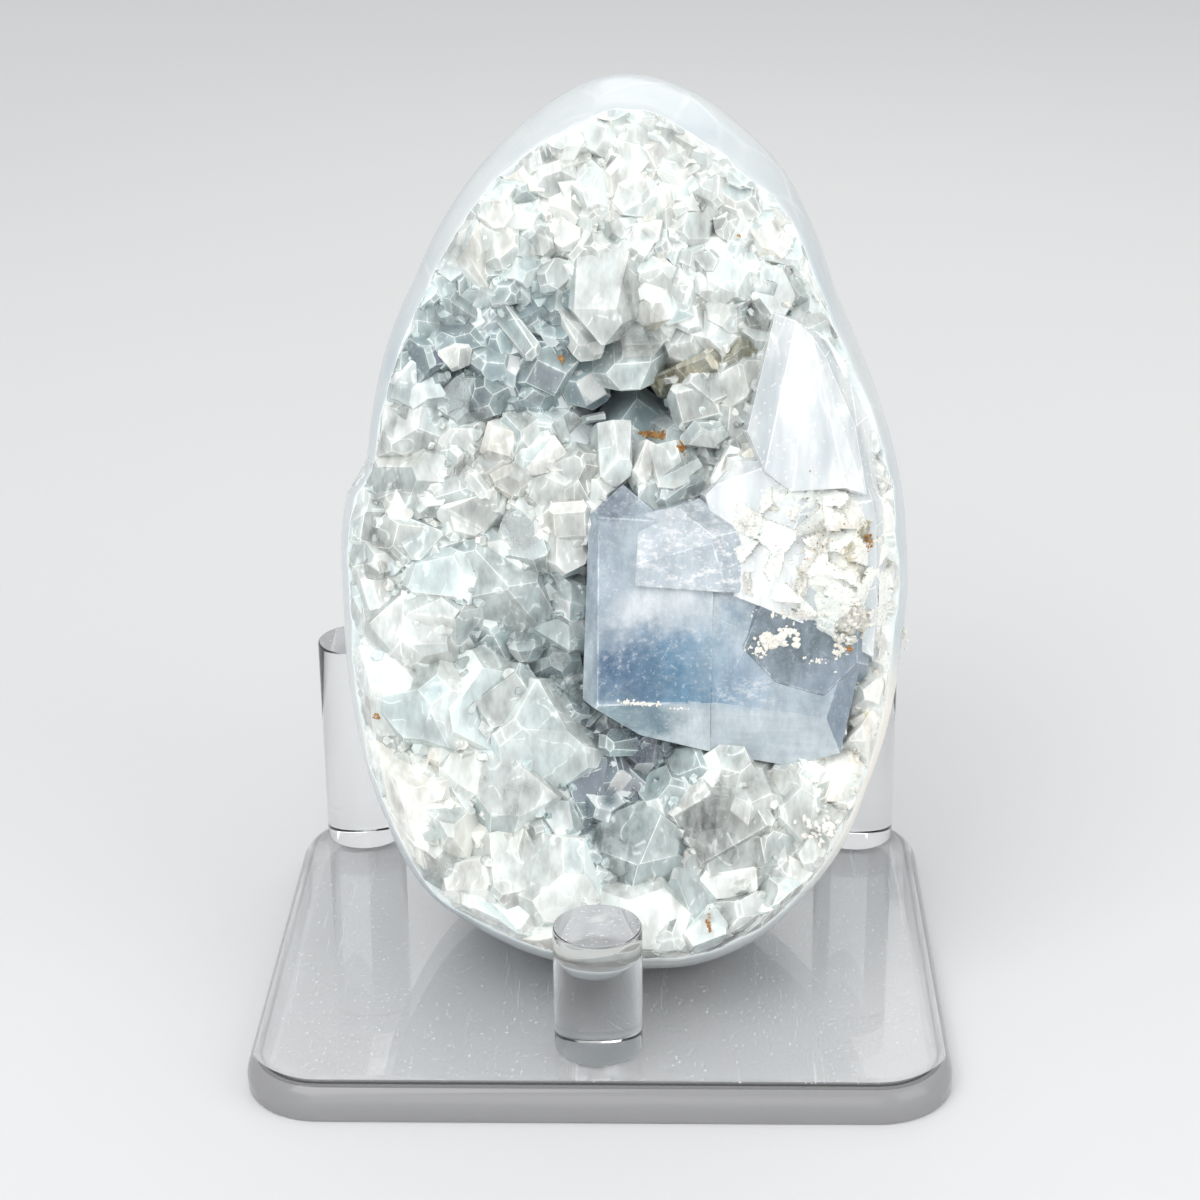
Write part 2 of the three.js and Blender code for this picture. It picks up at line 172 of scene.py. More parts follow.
LARGE_CRYSTALS = (
    Crystal((-3.4, 26.2, -0.6), (-0.06, -0.92, 0.34), (10, 6.4, 17), 0, 0.1, 0.38, 0.5),
    Crystal((3.4, 29.3, -1), (0.05, -0.6, 0.8), (5.5, 5, 13), 45, 0.1, 0.16, 0.35),
    Crystal((1.5, 25.4, -4), (0, -0.8, 0.5), (9, 6, 15), 0, 0.5, 0.3, 0.55),
    Crystal((-4.2, 24.5, -4), (0.5, -0.7, 0.4), (5, 4, 14), 20, 0.3, 0.32, 0.65),
    Crystal((0.8, 19.8, -6.6), (0.05, -0.8, 0.55), (11, 7, 15), 8, 0.2, 0.5, 0.7),
    Crystal((2.2, 15.2, -12.5), (0.3, 0.45, 0.85), (14, 12, 9), 50, 0.3, 0.67, 1),
    Crystal((-5.2, 20.6, -8.6), (0.5, -0.1, 0.85), (8, 9, 10), 30, 0.4, 0.76, 0.9),
    Crystal((6.4, 20.4, -12), (-0.5, 0, 0.85), (7, 9, 10), 10, 0.4, 0.74, 0.95),
    Crystal((10.3, 18.7, -5.5), (-0.25, -0.05, 0.95), (9.4, 9.4, 14), 15, 0.45, 0.42, 0.5),
    Crystal((16.5, 20, -4), (-0.3, 0, 0.95), (6, 6.4, 12), 40, 0.7, 0.28, 0.7),
    Crystal((13.5, 24.8, -3.6), (0.7, 0.35, 0.6), (4, 4, 12), 30, 0.5, 0, 0.3),
    Crystal((18.5, 26.2, -2.6), (0.7, 0.4, 0.55), (3.6, 4, 12), 60, 0.5, -0.01, 0.4),
    Crystal((15.8, 29.5, -3), (0.05, -0.85, 0.45), (5, 5, 14), 30, 0.3, 0.53, 0.35),
    Crystal((19.2, 33.2, -2), (-0.25, -0.3, 0.9), (6.6, 8.4, 12), 20, 0.7, 0.52, 0.5),
    Crystal((9.5, 32, -4), (0, -0.4, 0.9), (7, 6, 12), 10, 0.6, 0.34, 0.6),
    Crystal((11.5, 28.2, -5), (-0.1, -0.4, 0.9), (6, 5, 12), 70, 0.6, 0.34, 0.6),
    Crystal((-22, 31.7, -2), (0.2, -0.2, 0.95), (6.6, 5, 11), 5, 0.85, 0.46, 0.5),
    Crystal((-24.8, 22.7, 0), (0.05, -0.7, 0.65), (6, 5, 12), 30, 0.15, 0.27, 0.8),
    Crystal((-28.6, 22.2, -1), (0.2, -0.8, 0.5), (4, 3.4, 9), 15, 0.2, 0.29, 0.75),
    Crystal((-32.4, 26.6, -1), (0.35, -0.3, 0.85), (4.4, 3.6, 9), 50, 0.5, 0.35, 0.7),
    Crystal((-16.6, 28.2, -4.5), (0.05, -0.85, 0.45), (4, 4, 13), 20, 0.4, 0.7, 0.3),
    Crystal((-13.6, 27.6, -5.5), (0.05, -0.85, 0.45), (3.8, 4, 13), 50, 0.3, 0.74, 0.3),
    Crystal((-10.6, 28.6, -5), (0.1, -0.85, 0.45), (4.2, 4, 13), 80, 0.4, 0.72, 0.35),
    Crystal((-12.9, 24.4, -2), (0.6, -0.75, 0.3), (2.4, 3.6, 12), 0, 0.3, 0.42, 0.6),
    Crystal((-20, 16.1, -2), (0.1, -0.7, 0.65), (8, 6.4, 13), 25, 0.35, 0.73, 0.35),
    Crystal((-11.5, 21.5, -4), (0.2, -0.3, 0.92), (10.4, 8, 13), 65, 0.5, 0.7, 0.45),
    Crystal((-19.4, 21.4, -3), (0.15, -0.4, 0.9), (6.4, 6, 12), 35, 0.5, 0.74, 0.45),
    Crystal((-30.7, 12.6, -1), (0.45, 0.2, 0.85), (5.6, 4.4, 10), 10, 0.7, 0.62, 0.5),
    Crystal((-17.6, 12.2, -2), (0.15, 0.1, 0.97), (6.8, 5.6, 11), 75, 0.65, 0.2, 0.65),
    Crystal((-6.8, 10.2, -2), (0.2, 0.55, 0.8), (10, 8, 14), 55, 0.12, 0.31, 0.65),
    Crystal((-11.6, 7.4, -2), (-0.25, 0.5, 0.82), (9, 7, 13), 20, 0.05, 0.3, 0.65),
    Crystal((-7.6, 0.4, -1.5), (0.1, -0.2, 0.95), (7.6, 6, 12), 5, 0.4, 0.27, 0.75),
    Crystal((-14.6, -2.2, -2.5), (-0.15, 0.2, 0.95), (7.4, 10, 13), 20, 0.8, 0.46, 0.45),
    Crystal((-20.4, 6.4, -1.5), (0.5, 0.4, 0.75), (3, 6.4, 12), 30, 0.4, 0.29, 0.85),
    Crystal((-25.4, 5.6, -2), (0.3, 0.1, 0.93), (7, 6, 12), 60, 0.7, 0.47, 0.5),
    Crystal((-24.4, -4.5, -2), (0.3, 0.1, 0.93), (7.6, 7.4, 12), 15, 0.6, 0.47, 0.55),
    Crystal((-30.5, -13.5, 0), (0.3, 0.15, 0.93), (14, 12, 16), 40, 0.6, 0.36, 0.7),
    Crystal((-33.6, -21.5, -0.5), (0.35, 0.1, 0.92), (11, 10, 14), 5, 0.7, 0.38, 0.7),
    Crystal((-27, -20.5, -1), (0.3, 0.1, 0.94), (10, 9, 13), 70, 0.55, 0.36, 0.65),
    Crystal((-13.8, -19.8, -4), (0.1, -0.55, 0.8), (5, 2.6, 10), 10, 0.2, 0.6, 0.4),
    Crystal((-16, -21.8, -2.5), (0.2, 0.3, 0.9), (2.4, 2.4, 8), 25, 1, 0.24, 0.95),
    Crystal((-33, -35.2, -0.5), (0.3, 0.1, 0.94), (8, 13.4, 14), 10, 0.75, 0.4, 0.85),
    Crystal((-17, -25.6, -1), (0.15, 0.25, 0.95), (13, 10.4, 15), 35, 0.6, 0.44, 0.6),
    Crystal((-21.4, -35, -1), (0.2, 0.3, 0.92), (9.4, 9.4, 14), 60, 0.65, 0.29, 0.9),
    Crystal((-4.4, -37.2, -5), (0, 0.2, 0.95), (8, 9, 12), 20, 0.75, 0.84, 0.5),
    Crystal((1.2, -38.4, -5.5), (-0.1, 0.2, 0.95), (7, 8, 12), 50, 0.7, 0.83, 0.5),
    Crystal((-0.6, -45.2, -4), (0.05, 0.15, 0.97), (8.4, 7.4, 12), 0, 0.85, 0.84, 0.45),
    Crystal((1.2, -51.4, -3), (0, 0.3, 0.93), (7.4, 6, 11), 30, 0.7, 0.66, 0.45),
    Crystal((-2.6, -31.3, -3), (-0.7, 0.05, 0.6), (3.4, 4, 13), 0, 0.5, 0.7, 0.45),
    Crystal((14.4, -41.6, 0.5), (-0.1, 0.1, 1), (14, 14, 17), 32, 0.62, 0.29, 0.5),
    Crystal((17, -47, 0.5), (0.05, -0.1, 1), (12, 8, 14), 12, 0.6, 0.29, 0.55),
    Crystal((9.4, -47.4, 0), (-0.4, 0.3, 0.85), (5.4, 5, 13), 60, 0.3, 0.29, 0.65),
    Crystal((16, -51.6, -0.5), (0, -0.25, 0.95), (11, 6, 12), 5, 0.6, 0.29, 0.6),
    Crystal((23.2, -36.8, -0.5), (-0.15, 0.3, 0.94), (2.6, 5, 9), 20, 0.8, 0.04, 0.8),
    Crystal((27.6, -37, -1), (-0.3, 0.2, 0.93), (8, 7, 12), 35, 0.8, 0.24, 0.75),
    Crystal((5.4, -50.6, 0), (0.1, 0.55, 0.8), (7.4, 5, 12), 15, 0.15, 0.2, 0.97),
    Crystal((-12, -55.4, -0.5), (0.05, 0.1, 0.98), (9, 8, 11), 20, 0.9, 0.23, 0.97),
)

# Broad crystals


class Block(NamedTuple):
    """A broad crystal cut from a block by the sides of its outline and by facets.

    The outline is across and up, and a facet is a point and the way it faces. The front and the facets'
    points are ahead of the pocket's flat level, and the facets face as from there."""

    outline: tuple
    back: float
    front: float
    draft: float
    facets: tuple


BLUE_BODY = Block(
    ((6, -8), (4, -29.9), (14.5, -32.4), (24.6, -34), (31.7, -31.9), (35, -15.3), (17, -8.9)),
    2, -0.6, 4,
    (((8, -25.3, -1.1), (0.03, -0.5, 0.85)), ((29, -23.5, -1.2), (0.62, -0.2, 0.75)),
     ((20, -13, -1.3), (0.06, 0.2, 0.98)), ((22, -16.5, -1.3), (0.1, -0.06, 1)),
     ((13, -20, -1), (-0.02, 0, 1))),
)
BLUE_COLUMN = Block(
    ((-0.2, 5.8), (-4.8, 1.7), (-5.4, -25), (2.9, -29.9), (13.1, -32.2), (13.1, -4)),
    2, -0.4, 3,
    (((-4, -10, -1.6), (-0.75, 0, 0.65)), ((-0.4, 1.2, -0.9), (0.02, 0.55, 0.83)),
     ((8, -25.3, -0.98), (0.03, -0.5, 0.85)), ((0, -10, -0.9), (0, 0.01, 1))),
)
BLUE_STEP = Block(
    ((1.9, -8.2), (17, -8.9), (19.7, -1.4), (11, 4.2), (2.4, 1.9)),
    2, 0.6, 2,
    (((9, -6, 0.1), (-0.02, -0.05, 1)), ((9, -2.2, 0.1), (-0.1, 0.22, 0.97)),
     ((14.5, -5, 0), (0.42, 0.1, 0.9)), ((10, 2, -1), (0.25, 0.6, 0.75))),
)
PALE_SLAB = Block(
    ((21.6, 30.6), (18, 14.4), (20.3, 8.7), (24, 6), (38, 7), (38, 18.9), (31, 28)),
    4, 1.6, 6,
    (((25, 18, 0.5), (0.02, 0, 1)), ((21, 22, -0.5), (-0.5, 0.1, 0.86)),
     ((30, 18, 0.3), (0.3, 0.05, 0.95))),
)
PALE_SHOULDER = Block(
    ((12.5, 5), (16.5, 9.2), (24, 10), (34, 8), (40, 2), (40, -10), (36, -17), (16, -8.8)),
    2, -1.3, 14,
    (((20, 3, -1.7), (-0.1, 0.1, 1)), ((17, 7, -2), (-0.25, 0.5, 0.85)), ((27, 5, -1.8), (0.1, 0.2, 0.97)),
     ((33, -10, -2.2), (0.2, -0.15, 0.97)), ((30, -2, -1.8), (0.15, 0, 1))),
)
BLUE_WINDOW = Block(
    ((17.6, -16.4), (20.4, -9.6), (33.4, -12.6), (33.4, -18), (29, -22.6), (22, -20.8)),
    2, -0.9, 30,
    (((22, -16.5, -1.05), (0.1, -0.06, 1)),),
)
BLUE_BLOCKS = (BLUE_BODY, BLUE_COLUMN, BLUE_STEP)
BLUE_DUST = (0, 0.15, 0.9)
PALE_BLOCKS = (PALE_SLAB, PALE_SHOULDER)
BLUE_BED = 7
BLUE_BED_BORDER = 0.5
BLUE_DENSITY = 22
HOLLOW_DEPTH = 0.25
POCKET_PIECES = ("polished_egg", "druse", "large_crystals", "blue_crystal", "pale_slab")

# Patches in the blue crystal's look: across, up, half width and half height

COLUMN_PATCH = (-2.8, -8, 3.6, 9)
MIST_PATCH = (6.5, -12, 8, 3.6)
HALO_PATCH = (17, -22, 5, 4.6)
TIP_PATCH = (-1.2, 4, 3.6, 3.4)
WINDOW_PATCH = (24, -15.5, 9, 6)
TEAL_PATCH = (1.6, -27.6, 7.4, 3)
STEP_SCUFFS = (15.5, -5.5, 5, 5)
HEART_SCUFFS = (18.5, -23.5, 5, 3.4)
# A painted highlight: a faint light cyan shine painted round this spot of the blue column
SHINE = Vector((-1.5, -18, -25.4))
SHINE_REACH = 6 * MM

# Chalky crust and rust

CRUST_OUTLINE = (
    (14.4, 1), (18.4, 7.4), (30, 8), (38, 4.6), (40.6, -6), (39, -18), (31, -15.8), (15.6, -9.8)
)
CRUST_CORNERS = ((14.4, 40.6), (-18, 8))
CRUST_GRID = 96
CRUST_LEVEL = 0.5
CRUST_BACK = 6
CRUST_EDGE_DROP = 3.4
CRUST_EDGE_REACH = 1.3
CRUST_CHUNKS = ((80, 0.36, 0.5), (300, 0.2, 0.07))
CRUST_TINT = 0.21
CRUST_MILK = 1.25
CRUST_STAIN = Vector((35.5, -2))
CRUST_STAIN_REACH = 5.5
CRUMBS = ((42.0, -16.4, 4), (42.4, -17.4, 3), (42.2, -18.2, 4), (41.9, -15.4, 5), (42.3, -17.0, 5))
CRUMB = 0.42
LUMP_ROUGHNESS = 0.4
LUMP_SWELLS = ((1.4, 1), (4, 0.5), (10, 0.25))


class Scatter(NamedTuple):
    """Grains strewn on the pocket around a place: their spread across and up, their size and number."""

    across: float
    up: float
    spread_across: float
    spread_up: float
    size: float
    number: int


CHALK_GRAINS = (
    Scatter(29.6, -43, 3, 2.6, 0.5, 40),
    Scatter(25, -11.6, 6, 0.7, 0.3, 50),
    Scatter(30, -2, 9, 9, 0.26, 50),
    Scatter(33, -12, 3, 4, 0.36, 60),
    Scatter(2.6, -25.1, 3.4, 0.3, 0.24, 60),
    Scatter(8.6, -25.7, 1.6, 0.16, 0.18, 10),
    Scatter(19.8, -17.2, 1.7, 1, 0.3, 26),
    Scatter(21.8, -15.6, 2.4, 0.9, 0.55, 60),
    Scatter(24, -14.2, 1.6, 0.8, 0.34, 26),
    Scatter(28, -18.4, 1.6, 0.4, 0.2, 18),
    Scatter(31.4, -16.6, 1, 2.4, 0.36, 30),
    Scatter(34.6, -36, 1.2, 6, 0.4, 30),
)
RUST_GRAINS = (
    Scatter(3.9, 13.2, 1.8, 0.5, 0.34, 46),
    Scatter(8.4, 11.6, 0.5, 0.9, 0.3, 22),
    Scatter(-9.2, 24.2, 0.7, 0.4, 0.22, 16),
    Scatter(35.4, -1, 0.5, 1.4, 0.26, 20),
    Scatter(32.9, -16.6, 0.8, 0.6, 0.24, 18),
    Scatter(-35.4, -28, 0.7, 0.4, 0.22, 14),
    Scatter(13.3, -56.4, 0.25, 1.3, 0.22, 22),
    Scatter(15.9, 42.2, 0.25, 0.25, 0.2, 5),
    Scatter(27, -1, 6, 6, 0.14, 40),
)


# Properties


class GeodeEggSizes(PropertyGroup):
    """The egg's place and depth and the pocket in it."""

    place: FloatVectorProperty(
        name="Place", description="Middle of the egg's outline", subtype="TRANSLATION", unit="LENGTH",
        default=(3.4 * MM, 14 * MM, 69 * MM),
    )
    lean: FloatProperty(
        name="Lean", description="How far the egg leans back", subtype="ANGLE", default=math.radians(17)
    )
    roll: FloatProperty(
        name="Roll", description="How far the egg turns sideways", subtype="ANGLE",
        default=math.radians(0.9),
    )
    front_depth: FloatProperty(
        name="Front depth", description="Depth of the whole front half", unit="LENGTH", default=36 * MM
    )
    back_depth: FloatProperty(
        name="Back depth", description="Depth of the back half", unit="LENGTH", default=48 * MM
    )
    rim_level: FloatProperty(
        name="Rim level", description="How far the pocket's rim is ahead", unit="LENGTH", default=18 * MM
    )
    vug_depth: FloatProperty(
        name="Vug depth", description="Depth of the deep hole in the bowl", unit="LENGTH", default=20 * MM
    )
    vug_radius: FloatProperty(
        name="Vug radius", description="Radius of the deep hole", unit="LENGTH", default=7.4 * MM
    )
    foot: FloatProperty(
        name="Foot", description="Level of the egg's flat foot", unit="LENGTH", default=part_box("geode")[0].z
    )
    blue: FloatVectorProperty(
        name="Polished blue", description="Bluest part of the polished stone", subtype="COLOR", size=3,
        min=0, max=1, default=(0.51, 0.59, 0.63),
    )
    white: FloatVectorProperty(
        name="Polished white", description="Milkiest part of the polished stone", subtype="COLOR", size=3,
        min=0, max=1, default=(0.70, 0.73, 0.725),
    )
    chalk: FloatVectorProperty(
        name="Chalk", description="Chalky matrix at the rim", subtype="COLOR", size=3,
        min=0, max=1, default=(0.90, 0.87, 0.79),
    )


class GeodeCrystalSettings(PropertyGroup):
    """How the crystals in the pocket grow and look."""

    seed: IntProperty(name="Seed", description="Start of the random draws", default=7, min=0)
    darts: IntProperty(
        name="Darts", description="Tries at placing a crystal in the pocket", default=18000, min=1
    )
    small_ones: IntProperty(
        name="Small ones", description="Tries at setting a small crystal in a hollow", default=1500, min=1
    )
    edge: FloatProperty(
        name="Worn edge", description="Width of a crystal's worn edge", unit="LENGTH", default=0.07 * MM
    )
    blue_absorbed: FloatVectorProperty(
        name="Blue body colour", description="Colour that the blue crystal's depth keeps", subtype="COLOR",
        size=3, min=0, max=1, default=(0.12, 0.48, 0.78),
    )
    deep_blue: FloatVectorProperty(
        name="Deep blue", description="Heart of the large blue crystal", subtype="COLOR", size=3,
        min=0, max=1, default=(0.03, 0.125, 0.25),
    )


class GeodeStandSizes(PropertyGroup):
    """The clear plate and its pegs."""

    corner_radius: FloatProperty(
        name="Corner radius", description="Radius of the plate's corners", unit="LENGTH", default=11.5 * MM
    )
    edge_radius: FloatProperty(
        name="Edge radius", description="Radius of the plate's top edge", unit="LENGTH", default=3.6 * MM
    )
    peg_chamfer: FloatProperty(
        name="Peg chamfer", description="Chamfer round a peg's ends", unit="LENGTH", default=0.45 * MM
    )
    acrylic: FloatVectorProperty(
        name="Acrylic", description="Colour of the clear acrylic", subtype="COLOR", size=3,
        min=0, max=1, default=(0.97, 0.98, 0.99),
    )


class GeodeStageSettings(PropertyGroup):
    """Floor, lights and camera."""

    floor: FloatVectorProperty(
        name="Floor", description="Colour of the floor", subtype="COLOR", size=3,
        min=0, max=1, default=(0.72, 0.72, 0.725),
    )
    surround: FloatProperty(
        name="Surround", description="Brightness of the light from all round", default=0.755, min=0
    )
    key: FloatProperty(name="Key", description="Power of the main light", unit="POWER", default=1.9, min=0)
    fill: FloatProperty(
        name="Fill", description="Power of the side light", unit="POWER", default=1.2, min=0
    )
    front: FloatProperty(
        name="Front", description="Power of the low front light", unit="POWER", default=1.7, min=0
    )
    rim: FloatProperty(name="Rim", description="Power of the back light", unit="POWER", default=0.6, min=0)
    lens: FloatProperty(
        name="Lens", description="Focal length for a 36 mm wide picture", unit="CAMERA", default=80.53
    )
    eye: FloatVectorProperty(
        name="Eye", description="Where the camera stands", subtype="TRANSLATION", unit="LENGTH",
        default=(11.027 * MM, -363.898 * MM, 211.824 * MM),
    )
    pitch: FloatProperty(
        name="Pitch", description="How far the camera looks down", subtype="ANGLE",
        default=math.radians(22.385),
    )
    yaw: FloatProperty(
        name="Yaw", description="How far the camera turns right", subtype="ANGLE",
        default=math.radians(-1.7436),
    )
    tilt: FloatProperty(
        name="Tilt", description="How far the camera rolls", subtype="ANGLE", default=math.radians(-0.6492)
    )


# Shader sums


class Wire:
    """A shader socket that takes part in sums: each sum on it adds a Math node."""

    def __init__(self, finish, socket):
        self.finish = finish
        self.socket = socket

    def sum(self, operation, *values):
        inputs = dict(enumerate(values))
        return self.finish.add("ShaderNodeMath", {"operation": operation}, inputs)

    def __add__(self, other):
        return self.sum("ADD", self, other)

    def __radd__(self, other):
        return self.sum("ADD", other, self)

    def __sub__(self, other):
        return self.sum("SUBTRACT", self, other)

    def __rsub__(self, other):
        return self.sum("SUBTRACT", other, self)

    def __mul__(self, other):
        return self.sum("MULTIPLY", self, other)

    def __rmul__(self, other):
        return self.sum("MULTIPLY", other, self)

    def __abs__(self):
        return self.sum("ABSOLUTE", self)

    def between(self, low, high):
        """0 below low and 1 above high, straight in between."""
        inputs = {0: self, 1: low, 2: high, 3: 0, 4: 1}
        return self.finish.add("ShaderNodeMapRange", {"clamp": True}, inputs)


class Finish:
    """A material's nodes. One method adds any node and gives back one of its outputs."""

    def __init__(self, name):
        self.material = bpy.data.materials.new(name)
        self.material.use_nodes = True
        self.tree = self.material.node_tree
        self.tree.nodes.clear()
        self.place = self.add("ShaderNodeTexCoord", output="Object")

    def add(self, kind, settings=None, inputs=None, output=0):
        node = self.tree.nodes.new(kind)
        for name, value in (settings or {}).items():
            if name == "stops":
                self.set_stops(node.color_ramp, value)
            else:
                setattr(node, name, value)
        for name, value in (inputs or {}).items():
            if isinstance(value, Wire):
                self.tree.links.new(value.socket, node.inputs[name])
            else:
                node.inputs[name].default_value = value
        return Wire(self, node.outputs[output]) if node.outputs else None

    @staticmethod
    def set_stops(ramp, stops):
        while len(ramp.elements) < len(stops):
            ramp.elements.new(1)
        for element, (position, colour) in zip(ramp.elements, stops):
            element.position = position
            element.color = (*colour, 1)

    def noise(self, scale, detail=4, roughness=0.55, place=None):
        inputs = {"Vector": place or self.place, "Scale": scale, "Detail": detail, "Roughness": roughness}
        return self.add("ShaderNodeTexNoise", None, inputs)

    def grains(self, scale, feature="F1", place=None):
        inputs = {"Vector": place or self.place, "Scale": scale}
        return self.add("ShaderNodeTexVoronoi", {"feature": feature}, inputs)

    def attribute(self, name):
        return self.add("ShaderNodeAttribute", {"attribute_name": name}, None, "Fac")

    def ramp(self, value, stops):
        return self.add("ShaderNodeValToRGB", {"stops": stops}, {0: value})

    def blend(self, share, first, second):
        def colour(value):
            return value if isinstance(value, Wire) else (*value, 1)

        settings = {"data_type": "RGBA"}
        return self.add("ShaderNodeMix", settings, {0: share, 6: colour(first), 7: colour(second)}, 2)

    def near(self, spot, reach):
        """1 at a spot of the row's frame, falling to 0 at its reach, in metres."""
        inputs = {0: self.place, 1: tuple(spot)}
        gap = self.add("ShaderNodeVectorMath", {"operation": "DISTANCE"}, inputs, "Value")
        return 1 - gap.between(0, reach)

    def egg_place(self, form):
        """How far across and up in the egg a spot lies, in the egg's own millimetres."""
        turn = form.matrix.to_quaternion().to_euler()
        middle = form.matrix.translation
        inputs = {"Vector": self.place, "Location": middle, "Rotation": turn, "Scale": (MM, MM, MM)}
        spot = self.add("ShaderNodeMapping", {"vector_type": "TEXTURE"}, inputs)
        return [self.add("ShaderNodeSeparateXYZ", None, {0: spot}, axis) for axis in ("X", "Z")]

    def squeezed(self, scale, turn=(0, 0, 0)):
        return self.add("ShaderNodeMapping", None, {"Vector": self.place, "Rotation": turn, "Scale": scale})

    def bump(self, height, strength, distance):
        inputs = {"Height": height, "Strength": strength, "Distance": distance}
        return self.add("ShaderNodeBump", None, inputs)

    def mix(self, share, first, second):
        return self.add("ShaderNodeMixShader", None, {0: share, 1: first, 2: second})

    def surface(self, **sockets):
        inputs = {name.replace("_", " "): value for name, value in sockets.items()}
        for name, value in inputs.items():
            if isinstance(value, tuple) and name.endswith("Color"):
                inputs[name] = (*value, 1)
        return self.add("ShaderNodeBsdfPrincipled", None, inputs)

    def celestite(self, haze, tints, roughness, **sockets):
        """Clear crystal that haze turns milky, with a tint and a roughness for each of the two."""
        (clear_tint, milky_tint), (clear_rough, milky_rough) = tints, roughness
        sockets["IOR"] = CRYSTAL_IOR
        clear = self.surface(Base_Color=clear_tint, Roughness=clear_rough, Transmission_Weight=1, **sockets)
        milky = self.surface(Base_Color=milky_tint, Roughness=milky_rough, **sockets)
        return self.mix(haze, clear, milky)

    def out(self, surface, volume=None):
        inputs = {"Surface": surface}
        if volume:
            inputs["Volume"] = volume
        self.add("ShaderNodeOutputMaterial", None, inputs)
        return self.material


# Materials

CRYSTAL_TINTS = (
    (0.0, (0.40, 0.40, 0.28)),
    (0.08, (0.86, 0.77, 0.50)),
    (0.18, (0.93, 0.91, 0.83)),
    (0.3, (0.895, 0.92, 0.88)),
    (0.5, (0.74, 0.85, 0.84)),
    (0.7, (0.45, 0.575, 0.585)),
    (0.86, (0.26, 0.345, 0.39)),
    (1.0, (0.12, 0.16, 0.22)),
)
POCKET_TINTS = ((0.3, (0.74, 0.82, 0.83)), (0.55, (0.86, 0.9, 0.9)), (0.75, (0.93, 0.95, 0.95)))
RUST_TINTS = ((0.3, (0.16, 0.07, 0.02)), (0.5, (0.42, 0.2, 0.06)), (0.7, (0.66, 0.42, 0.16)))
CLEAR = (1, 1, 1)
CRYSTAL_IOR = 1.62
ACRYLIC_IOR = 1.49
# The plate's top haze: partly real scratches and frost, partly painted light that brightens the plate
PLATE_HAZE_AND_LIGHT = 0.24
# Shares of white on the plate's and the pegs' sides: painted highlights on their edges
PLATE_EDGE_GLOW = 0.3
PEG_HAZE = 0.4
PEG_EDGE_GLOW = 0.02


def polished_stone(egg, form):
    """Polished outside of the egg: interlocked blue and milky grains, chalky at the lower right rim."""
    finish = Finish("polished_celestite")
    warp = finish.noise(60, 3)
    clouds = finish.noise(28, 6, 0.62)
    streaks = finish.noise(70, 5, 0.6, finish.squeezed((0.5, 1, 1.6), (0.4, 0.3, 0.6)))
    cell = finish.grains(150)
    seams = 1 - finish.grains(95, "DISTANCE_TO_EDGE").between(0, 0.06)
    milk = (clouds.between(0.32, 0.68) + (streaks - 0.5) * 0.7 + (cell - 0.5) * 0.22).between(0, 1)
    stone = finish.blend(milk, tuple(egg.blue), tuple(egg.white))
    stone = finish.blend(seams * warp.between(0.5, 0.7) * 0.35, stone, (0.93, 0.95, 0.95))
    lip = finish.near(form.matrix @ CHALKY_LIP, CHALKY_REACH)
    chalky = (lip * 1.6 + (warp - 0.5) * 0.9 - 0.25).between(0, 0.7)
    stone = finish.blend(chalky, stone, tuple(egg.chalk))
    stain = finish.noise(160, 4, 0.7).between(0.66, 0.78) * finish.noise(22, 2).between(0.55, 0.7)
    stone = finish.blend(stain * 0.6, stone, (0.66, 0.5, 0.28))
    pits = finish.noise(900, 3)
    surface = finish.surface(
        Base_Color=stone,
        Roughness=0.12 + 0.4 * chalky + 0.12 * pits,
        IOR=CRYSTAL_IOR,
        Normal=finish.bump(pits + seams * 0.6, 0.12, 0.0003),
    )
    return finish.out(surface)


def pocket_stone():
    """Rough stone that the crystals grow from, with painted shade darkening it in the deep hole."""
    finish = Finish("pocket_stone")
    deep = finish.attribute("deep")
    clouds = finish.noise(120, 6, 0.65)
    grit = finish.noise(900, 4, 0.7)
    # painted shade: the stone turns near-black blue where it lies in the deep hole
    colour = finish.blend(deep, finish.ramp(clouds, POCKET_TINTS), (0.17, 0.21, 0.26))
    surface = finish.surface(
        Base_Color=colour,
        Roughness=0.45 + 0.4 * grit,
        Normal=finish.bump(clouds + grit * 0.5, 0.5, 0.0008),
    )
    return finish.out(surface)


